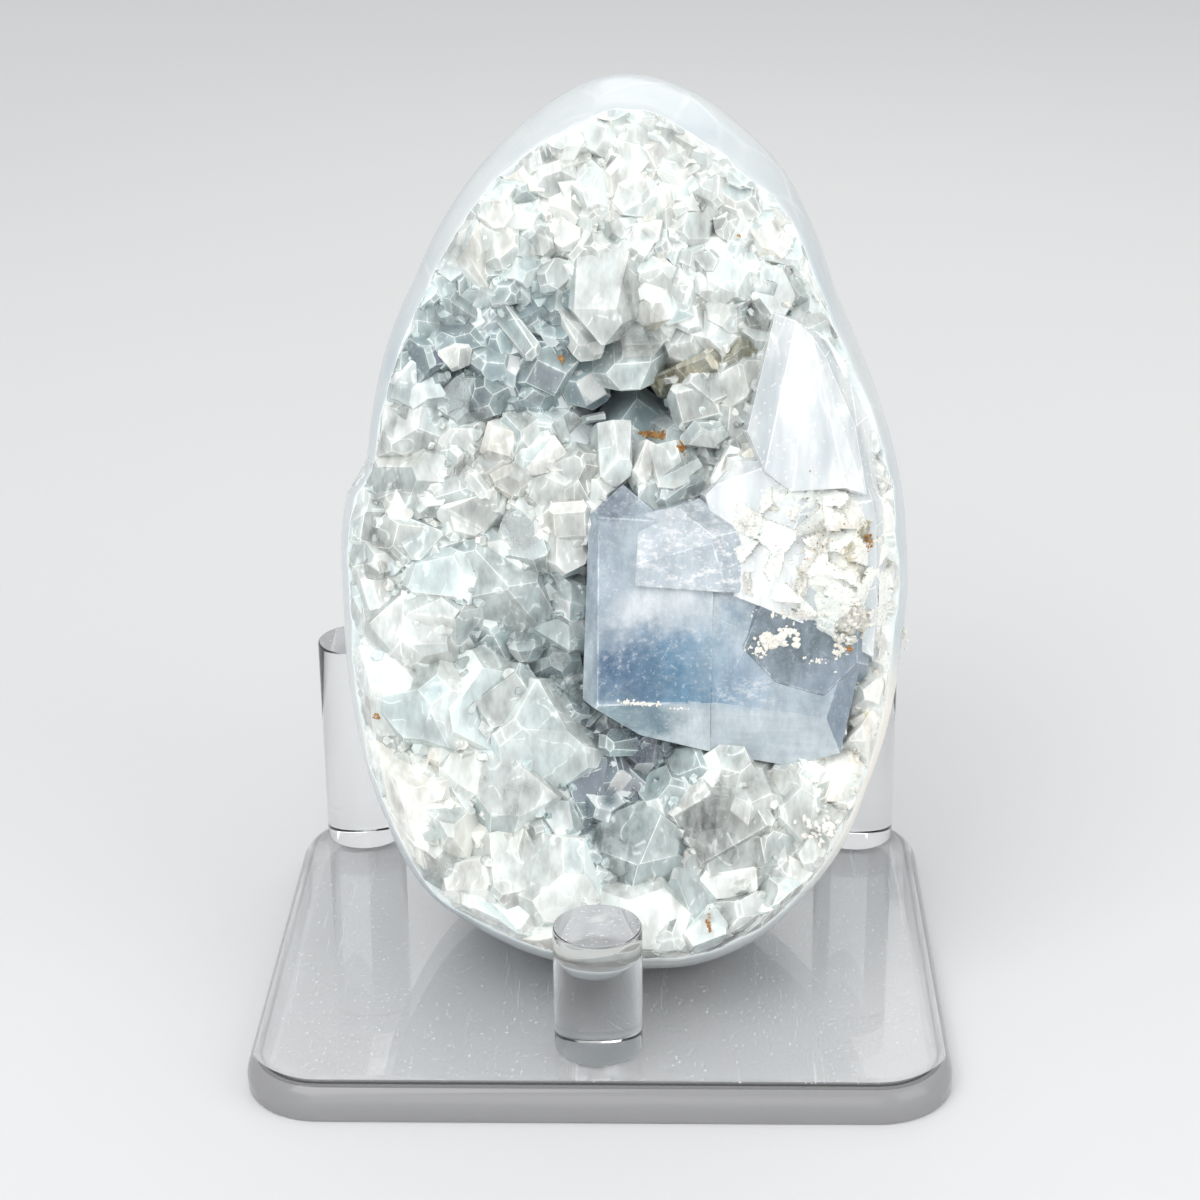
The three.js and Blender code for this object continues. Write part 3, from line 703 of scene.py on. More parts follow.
def clear_crystal():
    """Glassy to milky celestite. Each face's tint, milk and frost come from the crystal it belongs to, and
    each face is painted lighter and milkier towards its edges as painted light.
    """
    finish = Finish("celestite_crystal")
    tint = finish.attribute("tint")
    milk = finish.attribute("milk")
    frost = finish.attribute("frost")
    clouds = finish.noise(170, 1, 0.6)
    veils = finish.noise(650, 2, 0.65, finish.squeezed((1, 0.6, 0.4), (0.5, 0.9, 0.2)))
    # margin: painted light, lighter and milkier face borders standing in for light glowing through the
    # crystal
    margin = finish.attribute("margin").between(0.45, 1) * clouds.between(0.36, 0.6)
    splits = (1 - abs(clouds - 0.5).between(0, 0.02)) * veils.between(0.46, 0.56)
    specks = finish.noise(2400, 0).between(0.74, 0.8)
    # worn is real frost and wear, plus a painted white glow along the face borders
    worn = frost * clouds.between(0.3, 0.5) + margin.between(0.82, 1) * veils.between(0.5, 0.6) * 0.5
    worn = worn.between(0, 1)
    # the margin term lightens each face towards its edges: painted light
    shade = tint + 0.062 - margin * 0.07 + (clouds - 0.5) * 0.14 + (veils - 0.5) * 0.16
    body = finish.ramp(shade.between(0, 1), CRYSTAL_TINTS)
    white = (worn * 0.75 + specks * 0.6 + splits * 0.35).between(0, 1)
    body = finish.blend(white, body, (0.93, 0.94, 0.915))
    # the margin term makes each face milkier towards its edges: painted light
    haze = milk * 0.73 + 0.02 + margin * 0.16 + (clouds - 0.5) * 0.4
    haze = (haze + (veils - 0.5) * 0.8 + worn * 0.4 + splits * 0.3).between(0, 1)
    tints = (finish.blend(0.75, body, CLEAR), body)
    roughness = (0.05 + 0.3 * worn, 0.2 + 0.35 * worn)
    normal = finish.bump(veils, 0.12, 0.0003)
    return finish.out(finish.celestite(haze, tints, roughness, Normal=normal))


def blue_crystal(crystals, form):
    """The large crystal: clear, with a deep blue heart, a grey window at its right and white veils; its
    downward faces carry painted light, its right-facing ones painted shade, and a spot on its column a faint
    painted highlight.
    """
    finish = Finish("blue_crystal")
    frost = finish.attribute("frost")
    # pale holds the painted light of the downward faces (above 0), the painted shade of the right-facing
    # faces (below 0), and -1 on the grey window
    pale = finish.attribute("tint")
    dusty = finish.attribute("milk")
    clouds = finish.noise(90, 3, 0.6)
    mottle = finish.noise(330, 3, 0.72)
    veils = finish.noise(420, 4, 0.7, finish.squeezed((1, 1, 0.35), (0, 0.8, 0.2))).between(0.38, 0.64)
    streaks = finish.noise(500, 3, 0.6, finish.squeezed((0.22, 1, 1.6), (0, 0.12, 0))).between(0.35, 0.65)
    specks = finish.noise(1500, 1).between(0.62, 0.7)
    scuffs = finish.noise(620, 4, 0.78, finish.squeezed((0.7, 1, 1.5), (0, 0.7, 0))).between(0.5, 0.6)
    across, up = finish.egg_place(form)
    ragged = (mottle - 0.5) * 2.2 + (clouds - 0.5) * 1.4

    def patch(right, over, half_width, half_height):
        """1 in the middle of a ragged round patch and 0 outside it."""
        beside = (across - right) * (1 / half_width)
        above = (up - over) * (1 / half_height)
        return (1.3 + ragged - beside * beside - above * above).between(0, 1)

    heart = (
        across.between(-4.2, -2.8)
        * up.between(-25.8, -24.6)
        * (1 - (across + ragged * 3 + (up + 20) * 0.35).between(8, 20))
        * (1 - (up - across * 0.3 + ragged * 4).between(-19, -12))
    )
    # slate: painted shade on the faces that face right
    slate = (pale * -1).between(0.1, 0.35)
    window = (pale * -1).between(0.5, 1) * patch(*WINDOW_PATCH)
    lower = pale.between(0.1, 0.3)
    # shine: painted highlight
    shine = finish.near(form.matrix @ SHINE, SHINE_REACH).between(0.2, 0.8)
    worn = frost * veils
    tone = clouds.between(0.3, 0.7) * 0.5 + mottle.between(0.3, 0.7) * 0.5
    body = finish.blend(tone, (0.36, 0.465, 0.555), (0.62, 0.72, 0.785))
    body = finish.blend(patch(*COLUMN_PATCH) * 0.5, body, (0.29, 0.38, 0.49))
    body = finish.blend(patch(*MIST_PATCH) * 0.7, body, (0.80, 0.85, 0.885))
    body = finish.blend(patch(*HALO_PATCH) * 0.6, body, (0.34, 0.47, 0.61))
    body = finish.blend(patch(*TIP_PATCH) * 0.85, body, (0.15, 0.20, 0.28))
    body = finish.blend(dusty * 0.7, body, (0.57, 0.64, 0.70))
    depths = finish.blend(across.between(1, 10), tuple(crystals.deep_blue), (0.09, 0.265, 0.43))
    body = finish.blend(heart, body, depths)
    # painted shade: right-facing faces blended to slate
    body = finish.blend(slate * 0.85, body, (0.30, 0.39, 0.485))
    body = finish.blend(window * (0.95 - 0.4 * veils), body, (0.15, 0.215, 0.255))
    # painted light: downward faces blended pale, broken by streaks
    body = finish.blend((pale * (0.7 + 0.6 * streaks)).between(0, 1), body, (0.79, 0.885, 0.925))
    body = finish.blend(lower * patch(*TEAL_PATCH) * 0.9, body, (0.17, 0.29, 0.35))
    body = finish.blend(shine * 0.15, body, (0.55, 0.78, 0.82))
    rubbed = 0.05 + 0.6 * dusty + 0.6 * patch(*STEP_SCUFFS) + 0.4 * patch(*HEART_SCUFFS)
    rubbed = (rubbed - heart * 0.05).between(0, 0.9)
    white = (worn * 0.5 + specks * (0.2 + 0.45 * dusty) + scuffs * rubbed + veils * 0.05).between(0, 1)
    body = finish.blend(white, body, (0.92, 0.945, 0.95))
    haze = 0.66 + (clouds - 0.5) * 0.25 + (veils - 0.5) * 0.14 + worn * 0.4 + pale * 0.1
    haze = haze.between(0.05, 0.95)
    normal = finish.bump(veils * 0.6 + streaks * pale + scuffs * 0.3, 0.14, 0.0004)
    tints = (finish.blend(0.25, body, CLEAR), body)
    roughness = (0.03 + 0.3 * worn, 0.16 + 0.4 * worn)
    surface = finish.celestite(haze, tints, roughness, Normal=normal)
    depth = {"Color": (*crystals.blue_absorbed, 1), "Density": BLUE_DENSITY}
    volume = finish.add("ShaderNodeVolumeAbsorption", None, depth)
    return finish.out(surface, volume)


def pale_crystal():
    """The slab and the shoulder: milky white with light blue streaks and fine white cracks."""
    finish = Finish("pale_crystal")
    frost = finish.attribute("frost")
    streaks = finish.noise(110, 3, 0.6, finish.squeezed((2.2, 1, 0.5), (0, 0.6, 0)))
    long_grains = finish.squeezed((1.6, 1, 0.5), (0, 0.5, 0))
    cracks = 1 - finish.grains(120, "DISTANCE_TO_EDGE", long_grains).between(0, 0.05)
    specks = finish.noise(1700, 0).between(0.7, 0.78)
    white = (frost * 0.7 + cracks * streaks.between(0.45, 0.6) * 0.7 + specks * 0.4).between(0, 1)
    body = finish.blend(streaks.between(0.38, 0.62), (0.80, 0.88, 0.92), (0.93, 0.95, 0.94))
    body = finish.blend(white, body, (0.96, 0.965, 0.955))
    haze = (0.7 + (streaks - 0.5) * 0.7 + white * 0.4).between(0, 1)
    roughness = (0.08 + 0.3 * white, 0.16 + 0.3 * white)
    return finish.out(finish.celestite(haze, ((0.97, 0.98, 1), body), roughness))


def chalky_crust(egg):
    """White to cream chalk with ochre stains."""
    finish = Finish("chalky_crust")
    clouds = finish.noise(110, 6, 0.65)
    grit = finish.noise(1400, 4, 0.7)
    stain = finish.noise(150, 5, 0.7).between(0.58, 0.74)
    colour = finish.blend(clouds.between(0.35, 0.65), tuple(egg.chalk), (0.92, 0.91, 0.87))
    colour = finish.blend(stain * 0.55, colour, (0.60, 0.47, 0.27))
    surface = finish.surface(
        Base_Color=colour,
        Roughness=0.7 + 0.25 * grit,
        Normal=finish.bump(clouds * 0.6 + grit, 0.6, 0.0006),
    )
    return finish.out(surface)


def rust_grain():
    """Ochre to rusty brown grains."""
    finish = Finish("rust_grain")
    clouds = finish.noise(700, 4, 0.7)
    surface = finish.surface(
        Base_Color=finish.ramp(clouds, RUST_TINTS),
        Roughness=0.6 + 0.3 * clouds,
        Normal=finish.bump(clouds, 0.6, 0.0004),
    )
    return finish.out(surface)


def clear_acrylic(name, stand, haze, edge_glow, level):
    """Clear acrylic with white on its sides as a painted highlight, and a white haze with scratches and dust
    on its top above a level, which on the plate is partly painted light.
    """
    finish = Finish(name)
    fine = finish.noise(260, 3, 0.5, finish.squeezed((6, 0.12, 1), (0, 0, 0.5)))
    facing = finish.add("ShaderNodeNewGeometry", None, None, "True Normal")
    height = finish.add("ShaderNodeSeparateXYZ", None, {0: finish.place}, "Z")
    above = height.between(level - FLAT_BORDER, level)
    slope = finish.add("ShaderNodeSeparateXYZ", None, {0: facing}, "Z")
    edge = 1 - abs(slope).between(0.8, 0.95)
    upward = slope.between(0.8, 0.95) * above
    scratches = fine.between(0.66, 0.74) * upward
    dust = finish.noise(2200, 0).between(0.74, 0.8) * upward
    clear = finish.surface(
        Base_Color=tuple(stand.acrylic),
        Roughness=0.01 + 0.12 * scratches,
        Transmission_Weight=1,
        IOR=ACRYLIC_IOR,
    )
    hazy = finish.surface(Base_Color=(0.95, 0.95, 0.97), Roughness=0.25, IOR=ACRYLIC_IOR)
    # the sides' share of white is a painted highlight; the top's haze is partly painted light
    share = (haze * upward + edge_glow * edge + 0.2 * scratches + 0.35 * dust).between(0, 1)
    return finish.out(finish.mix(share, clear, hazy))


def pale_floor(stage):
    """Plain pale studio floor."""
    finish = Finish("pale_floor")
    tone = finish.noise(3, 0).between(0, 1)
    dim = tuple(0.96 * share for share in stage.floor)
    colour = finish.blend(tone, dim, tuple(stage.floor))
    return finish.out(finish.surface(Base_Color=colour, Roughness=0.6 + 0.1 * tone))


# Egg form


class EggForm:
    """The egg's shape in its own millimetres, with the matrix that sets it into the row's frame."""

    def __init__(self, egg):
        turned = Matrix.Rotation(-egg.lean, 4, "X") @ Matrix.Rotation(egg.roll, 4, "Y")
        self.matrix = Matrix.Translation(egg.place) @ turned @ Matrix.Scale(MM, 4)
        self.front_depth = egg.front_depth / MM
        self.back_depth = egg.back_depth / MM
        self.level = egg.rim_level / MM
        self.vug_depth = egg.vug_depth / MM
        self.vug_radius = egg.vug_radius / MM
        corners = sorted(
            (math.atan2(up - EGG_MIDDLE_UP, across), math.hypot(across, up - EGG_MIDDLE_UP))
            for across, up in EGG_OUTLINE
        )
        before = [(angle - FULL_TURN, radius) for angle, radius in corners[-2:]]
        after = [(angle + FULL_TURN, radius) for angle, radius in corners[:2]]
        self.corners = before + corners + after
        self.angles = [angle for angle, radius in self.corners]
        self.rims = [self.find_rim(FULL_TURN * step / RIM_STEPS) for step in range(RIM_STEPS)]

    def radius(self, angle):
        """The outline's radius, smooth through its corners."""
        angle = (angle + math.pi) % FULL_TURN - math.pi
        k = bisect.bisect_right(self.angles, angle, 2, len(self.angles) - 2)
        (a0, r0), (a1, r1), (a2, r2), (a3, r3) = self.corners[k - 2:k + 2]
        gap = a2 - a1
        t = (angle - a1) / gap
        slope1 = gap * (r2 - r0) / (a2 - a0)
        slope2 = gap * (r3 - r1) / (a3 - a1)
        return (
            r1 * (1 + 2 * t) * (1 - t) ** 2
            + slope1 * t * (1 - t) ** 2
            + r2 * t * t * (3 - 2 * t)
            + slope2 * t * t * (t - 1)
        )

    def rim_level(self, across, up):
        return self.level + RIM_SLOPE_UP * up - RIM_CURVE * across * across

    def face_level(self, across, up):
        """A flat level through the pocket, for the broad crystals."""
        return self.level + FACE_SLOPE_ACROSS * across + FACE_SLOPE_UP * up

    @staticmethod
    def squareness(angle, front=True):
        """How square the shell is: its front half is squarer at the chin."""
        chin = max(0, -math.sin(angle)) ** 2 if front else 0
        return 2 / (2 + chin)

    def shell(self, angle, along):
        """A point of the whole shell; along is 1 at the back pole and -1 at the front."""
        squareness = self.squareness(angle, along < 0)
        reach = math.sqrt(max(0, 1 - along * along)) ** squareness
        radius = reach * self.radius(angle)
        across = radius * math.cos(angle)
        up = EGG_MIDDLE_UP + radius * math.sin(angle)
        back = along * (self.back_depth - EGG_BACK_SKEW * across)
        ahead = -back if along > 0 else self.front_depth * abs(along) ** squareness
        return across, up, ahead

    def reach_at(self, angle, ahead, across):
        """The shell's radius at a level ahead or back."""
        squareness = self.squareness(angle, ahead > 0)
        if ahead > 0:
            along = min(1, ahead / self.front_depth) ** (1 / squareness)
        else:
            along = min(1, -ahead / (self.back_depth - EGG_BACK_SKEW * across))
        return math.sqrt(1 - along * along) ** squareness * self.radius(angle)

    def shell_ahead(self, across, up):
        """How far ahead the whole shell is at a place across and up."""
        angle = math.atan2(up - EGG_MIDDLE_UP, across)
        squareness = self.squareness(angle)
        reach = min(1, math.hypot(across, up - EGG_MIDDLE_UP) / self.radius(angle))
        along = math.sqrt(1 - reach ** (2 / squareness))
        return self.front_depth * along ** squareness

    @staticmethod
    def wander(angle):
        """How far the rim wanders from its level."""
        around = Vector((math.cos(angle), math.sin(angle), 0.3))
        return sum(height * noise.noise(around * scale) for scale, height in RIM_WANDERS)

    def find_rim(self, angle):
        """How far along the shell its rim lies."""
        low, high = 0, 1
        wander = self.wander(angle)
        for _ in range(RIM_HALVINGS):
            middle = (low + high) / 2
            across, up, ahead = self.shell(angle, -middle)
            if ahead < self.rim_level(across, up) + wander:
                low = middle
            else:
                high = middle
        return -low

    def rim(self, angle):
        step = angle / FULL_TURN * RIM_STEPS
        before = math.floor(step)
        share = step - before
        return self.rims[before % RIM_STEPS] * (1 - share) + self.rims[(before + 1) % RIM_STEPS] * share

    def pocket_share(self, across, up):
        """0 in the middle of the pocket and 1 on its rim."""
        angle = math.atan2(up - EGG_MIDDLE_UP, across)
        rim_across, rim_up, _ = self.shell(angle, self.rim(angle))
        whole = math.hypot(rim_across, rim_up - EGG_MIDDLE_UP)
        return math.hypot(across, up - EGG_MIDDLE_UP) / whole

    def dart(self, draw, reach=1):
        """A random place in the pocket, within a share of the way to its rim."""
        angle = draw.uniform(-math.pi, math.pi)
        across, up, _ = self.shell(angle, self.rim(angle))
        share = reach * math.sqrt(draw.random())
        return across * share, EGG_MIDDLE_UP + (up - EGG_MIDDLE_UP) * share

    def floor(self, across, up, share):
        """The level that the pocket's crystals grow from, without its deep hole."""
        angle = math.atan2(up - EGG_MIDDLE_UP, across)
        depth = zone_at(across, up).depth * max(0, 1 - share ** 4)
        level = self.rim_level(across, up) + self.wander(angle) * share ** 6 - depth
        if any(inside_outline(across, up, block.outline, -BLUE_BED_BORDER) for block in BLUE_BLOCKS):
            level -= BLUE_BED
        return min(level, self.shell_ahead(across, up))

    def in_vug(self, across, up):
        gap = (Vector((across, up)) - VUG).length / self.vug_radius
        return math.exp(-(gap ** 4))

    def facing(self, across, up):
        """The way that the pocket's floor faces, without its deep hole."""
        levels = []
        for beside, above in PROBES:
            share = self.pocket_share(across + beside, up + above)
            levels.append(self.floor(across + beside, up + above, share))
        right, left, over, under = levels
        return egg_point((left - right) / (2 * PROBE), (under - over) / (2 * PROBE), 1).normalized()


class Ground:
    """The pocket as it is seen from ahead, for setting small things on it."""

    def __init__(self, form, *names):
        depsgraph = bpy.context.evaluated_depsgraph_get()
        self.trees = [BVHTree.FromObject(bpy.data.objects[name], depsgraph) for name in names]
        self.form = form
        self.inward = (form.matrix.to_3x3() @ egg_point(0, 0, -1)).normalized()
        self.back = form.matrix.inverted()

    def land(self, across, up):
        """Where something lands that is dropped from ahead, and the way the ground faces there."""
        start = self.form.matrix @ egg_point(across, up, DROP_LEVEL)
        hits = [tree.ray_cast(start, self.inward) for tree in self.trees]
        spot, facing, _, _ = min((hit for hit in hits if hit[0]), key=lambda hit: hit[3])
        return self.back @ spot, (self.back.to_3x3() @ facing).normalized()


def egg_point(across, up, ahead):
    """A point or direction in the egg's own frame, where ahead is towards -Y."""
    return Vector((across, -ahead, up))


def keep_inside(bm, form):
    """Trims what reaches out of the egg's polished outside flush with it."""
    for vert in bm.verts:
        across, up, ahead = vert.co.x, vert.co.z, -vert.co.y
        angle = math.atan2(up - EGG_MIDDLE_UP, across)
        reach = math.hypot(across, up - EGG_MIDDLE_UP)
        allowed = form.reach_at(angle, ahead, across) + PROUD
        if reach > allowed:
            vert.co.x = across * allowed / reach
            vert.co.z = EGG_MIDDLE_UP + (up - EGG_MIDDLE_UP) * allowed / reach


# Mesh helpers

CUT_TOLERANCE = 1e-4
SHARP_ANGLE = math.radians(40)
EDGE_FROST = 0.7
CORNER_LEAN = (0.6, 0.95)
CORNER_TRIM = (0.54, 0.82)
TIP_SLOPES = ((34, 58), (34, 58))
TIP_CHIPS = ((0.35, 0.8),)
DRUSE_SLOPES = ((26, 52), (28, 56))
DRUSE_CHIPS = ((0, 0.5), (0.1, 0.6))
DRUSE_LEAN = 0.42
DRUSE_WIDTH = (1.5, 2.3)
DRUSE_BREADTH = (0.5, 1)
DRUSE_LENGTH = 2.4
DRUSE_RISE = (0.05, 0.6)
DRUSE_SPACING = 0.27
VUG_SPACING = 0.6
LARGE_SPACING = 0.35
BLUE_SPACING = 0.35
PALE_OVERLAP = 1
SMALL_SIZE = (0.2, 0.4)
SMALL_LEAN = 0.4
SMALL_REACH = 0.98
CLEAN_MARGIN = 0.5
CLEAN_VUG = 0.4
GRAIN_REACH = 1.04
COARSE_GRAIN = 0.5
LARGE_WEAR = 1.4
BLOCK_WEAR = 2
FACE_LOOKS = ("tint", "milk", "frost")


def make_piece(name, bm, materials, nodes, matrix=None, smooth=False):
    """Turns a bmesh into a finished piece that rides with the stand and stands for its CAD nodes."""
    if matrix:
        bmesh.ops.transform(bm, matrix=matrix, verts=bm.verts)
    bm.normal_update()
    mesh = bpy.data.meshes.new(name)
    bm.to_mesh(mesh)
    bm.free()
    if not mesh.polygons:
        raise RuntimeError(f"{name} came out empty")
    for material in materials:
        mesh.materials.append(material)
    mesh.polygons.foreach_set("use_smooth", [smooth] * len(mesh.polygons))
    piece = bpy.data.objects.new(name, mesh)
    bpy.context.scene.collection.objects.link(piece)
    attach(piece, "root")
    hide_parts(*nodes)
    return piece


def make_stone(name, bm, material, form):
    """Turns a bmesh in the egg's millimetres into a finished piece of the geode."""
    make_piece(name, bm, [material], ["geode"], form.matrix)


def make_clear(node, bm, acrylic):
    """Turns a bmesh into a finished clear piece for a node, its level faces flat up to a narrow border."""
    flats = [face for face in bm.faces if len(face.verts) > 4 and abs(face.normal.z) > 0.99]
    bmesh.ops.inset_individual(bm, faces=flats, thickness=FLAT_BORDER)
    piece = make_piece(f"{node}_clear", bm, [acrylic], [node], smooth=True)
    piece.data.set_sharp_from_angle(angle=SHARP_ANGLE)


def round_edges(bm, edges, radius, segments):
    bmesh.ops.bevel(
        bm, geom=edges, offset=radius, offset_type="OFFSET", segments=segments, profile=0.5,
        affect="EDGES", material=-1,
    )


def look_layers(bm):
    return [bm.faces.layers.float.get(name) or bm.faces.layers.float.new(name) for name in FACE_LOOKS]


def add_to(target, bm):
    """Adds one small bmesh to a larger one."""
    mesh = bpy.data.meshes.new("part")
    bm.to_mesh(mesh)
    bm.free()
    target.from_mesh(mesh, face_normals=False, vertex_normals=False)
    bpy.data.meshes.remove(mesh)


def cut_away(bm, normal, point):
    """Cuts off what lies in front of a plane and closes the cut."""
    geom = bm.verts[:] + bm.edges[:] + bm.faces[:]
    bmesh.ops.bisect_plane(
        bm, geom=geom, dist=CUT_TOLERANCE, plane_co=point, plane_no=normal, clear_outer=True
    )
    bmesh.ops.holes_fill(bm, edges=bm.edges[:])


def wear_edges(bm, width, frost_layer):
    """Narrow frosted bevels along a crystal's edges."""
    worn = bmesh.ops.bevel(
        bm, geom=bm.edges[:], offset=width, offset_type="OFFSET", segments=1, profile=0.5,
        affect="EDGES", clamp_overlap=True, material=-1,
    )
    for face in worn["faces"]:
        face[frost_layer] = EDGE_FROST
    return set(worn["faces"])


def mark_middles(bm, faces):
    """Gives faces a middle point, so that their looks can change from there to their edges: the crystal
    material paints the borders lighter as painted light.
    """
    margin = bm.verts.layers.float.get("margin") or bm.verts.layers.float.new("margin")
    for vert in bm.verts:
        vert[margin] = 1
    for vert in bmesh.ops.poke(bm, faces=faces)["verts"]:
        vert[margin] = 0


def frosted(draw):
    """How frosted a face is: most are clear, some dull and a few white."""
    chance = draw.random()
    if chance < 0.7:
        return draw.uniform(0, 0.12)
    if chance < 0.95:
        return draw.uniform(0.2, 0.5)
    return draw.uniform(0.7, 1)


def grow_crystal(
    target, draw, tip, way, size, turn, blunts, looks, edge, slopes=TIP_SLOPES, chips=TIP_CHIPS
):
    """Adds one crystal: a block with trimmed corners and a hipped roof of sloping faces at its tip."""
    width, breadth, length = size
    half_width, half_breadth = width / 2, breadth / 2
    bm = bmesh.new()
    layers = look_layers(bm)
    bmesh.ops.create_cube(bm, size=1)
    bmesh.ops.scale(bm, vec=size, verts=bm.verts)
    bmesh.ops.translate(bm, vec=(0, 0, -length / 2), verts=bm.verts)
    lean = draw.uniform(*CORNER_LEAN)
    for right in (1, -1):
        for over in (1, -1):
            normal = Vector((right * math.cos(lean), over * math.sin(lean), draw.uniform(0, 0.1)))
            support = half_width * math.cos(lean) + half_breadth * math.sin(lean)
            cut_away(bm, normal, normal * support * draw.uniform(*CORNER_TRIM))
    sides = ((Vector((1, 0, 0)), half_width), (Vector((0, 1, 0)), half_breadth))
    for (side, half), blunt, steepness in zip(sides, blunts, slopes):
        for sign in (1, -1):
            slope = math.radians(draw.uniform(*steepness))
            normal = side * sign * math.sin(slope) + Vector((0, 0, math.cos(slope)))
            start = half * min(0.9, blunt + draw.uniform(-0.2, 0.2))
            cut_away(bm, normal, side * sign * max(0.02, start))
    for near, far in chips:
        spin = draw.uniform(0, FULL_TURN)
        dip = draw.uniform(0.3, 1.1)
        normal = Vector((math.cos(spin) * math.sin(dip), math.sin(spin) * math.sin(dip), math.cos(dip)))
        cut_away(bm, normal, normal * half_width * draw.uniform(near, far))
    tint, milk = looks
    for face in bm.faces:
        face[layers[0]] = tint + draw.gauss(0, 0.03 + 0.055 * tint)
        face[layers[1]] = milk + draw.gauss(0, 0.14)
        face[layers[2]] = frosted(draw)
    worn = wear_edges(bm, edge, layers[2]) if edge else set()
    mark_middles(bm, [face for face in bm.faces if face not in worn])
    aim = egg_point(*way).to_track_quat("Z", "Y").to_matrix().to_4x4()
    spun = Matrix.Rotation(math.radians(turn), 4, "Z")
    bmesh.ops.transform(bm, matrix=Matrix.Translation(tip) @ aim @ spun, verts=bm.verts)
    add_to(target, bm)


def cut_block(form, block):
    """A broad crystal: a block cut by a plane along each side of its outline and by its facets."""
    bm = bmesh.new()
    look_layers(bm)
    corners = [Vector(corner) for corner in block.outline]
    middle = sum(corners, Vector((0, 0))) / len(corners)
    spread = 2.2 * max((corner - middle).length for corner in corners)
    front = max(form.face_level(*corner) for corner in corners) + block.front
    bmesh.ops.create_cube(bm, size=1)
    bmesh.ops.scale(bm, vec=(spread, front - block.back, spread), verts=bm.verts)
    bmesh.ops.translate(bm, vec=egg_point(*middle, (front + block.back) / 2), verts=bm.verts)
    draft = math.tan(math.radians(block.draft))
    for start, outward in outline_sides(block.outline):
        cut_away(bm, egg_point(*outward, draft), egg_point(*start, form.face_level(*start) + block.front))
    for (across, up, ahead), way in block.facets:
        point = egg_point(across, up, form.face_level(across, up) + ahead)
        facing = (way[0] - FACE_SLOPE_ACROSS * way[2], way[1] - FACE_SLOPE_UP * way[2], way[2])
        cut_away(bm, egg_point(*facing), point)
    return bm


def finish_block(target, bm, edge, draw, dust=0, grey=False):
    """Gives a broad crystal its looks and worn edges and adds it to its piece.

    Its downward faces are painted pale as painted light and its right-facing ones slate as painted shade; a
    grey one is grey all over."""
    layers = look_layers(bm)
    bm.normal_update()
    for face in bm.faces:
        # painted light and shade by facing: downward faces lighter, right-facing faces darker
        pale = 1.6 * max(0, -face.normal.z - 0.1) - 1.2 * max(0, face.normal.x - 0.2)
        face[layers[0]] = -1 if grey else max(-0.45, min(1, pale))
        face[layers[1]] = dust
        face[layers[2]] = draw.uniform(0, 0.15)
    wear_edges(bm, edge, layers[2])
    add_to(target, bm)


@functools.lru_cache(maxsize=None)
def outline_sides(outline):
    """A convex outline's sides, each a corner and the way that the side faces."""
    corners = [Vector(corner) for corner in outline]
    middle = sum(corners, Vector((0, 0))) / len(corners)
    sides = []
    for start, end in zip(corners, corners[1:] + corners[:1]):
        along = (end - start).normalized()
        outward = Vector((along.y, -along.x))
        sides.append((start, outward if outward.dot(start - middle) > 0 else -outward))
    return sides


def inside_outline(across, up, outline, margin):
    """Whether a point lies in a convex outline, pulled in by a margin."""
    point = Vector((across, up))
    return all(outward.dot(point - start) <= -margin for start, outward in outline_sides(outline))


def zone_at(across, up):
    """The zone that a place in the pocket has from the zones around it."""
    shares = [
        math.exp(-((across - zone.across) ** 2 + (up - zone.up) ** 2) / zone.spread ** 2) + 1e-9
        for zone in ZONES
    ]
    whole = sum(shares)
    means = []
    for values in zip(*ZONES):
        means.append(sum(share * value for share, value in zip(shares, values)) / whole)
    return Zone(*means)


# Operators


class GeodeOperator:
    """What the geode's operators share."""

    bl_options = {"REGISTER"}

    @staticmethod
    def start(context, step):
        """The egg's form, the crystals' settings, a step's own draws and an empty mesh with its looks."""
        crystals = context.scene.geode_crystals
        bm = bmesh.new()
        look_layers(bm)
        return EggForm(context.scene.geode_egg), crystals, random.Random(crystals.seed + step), bm


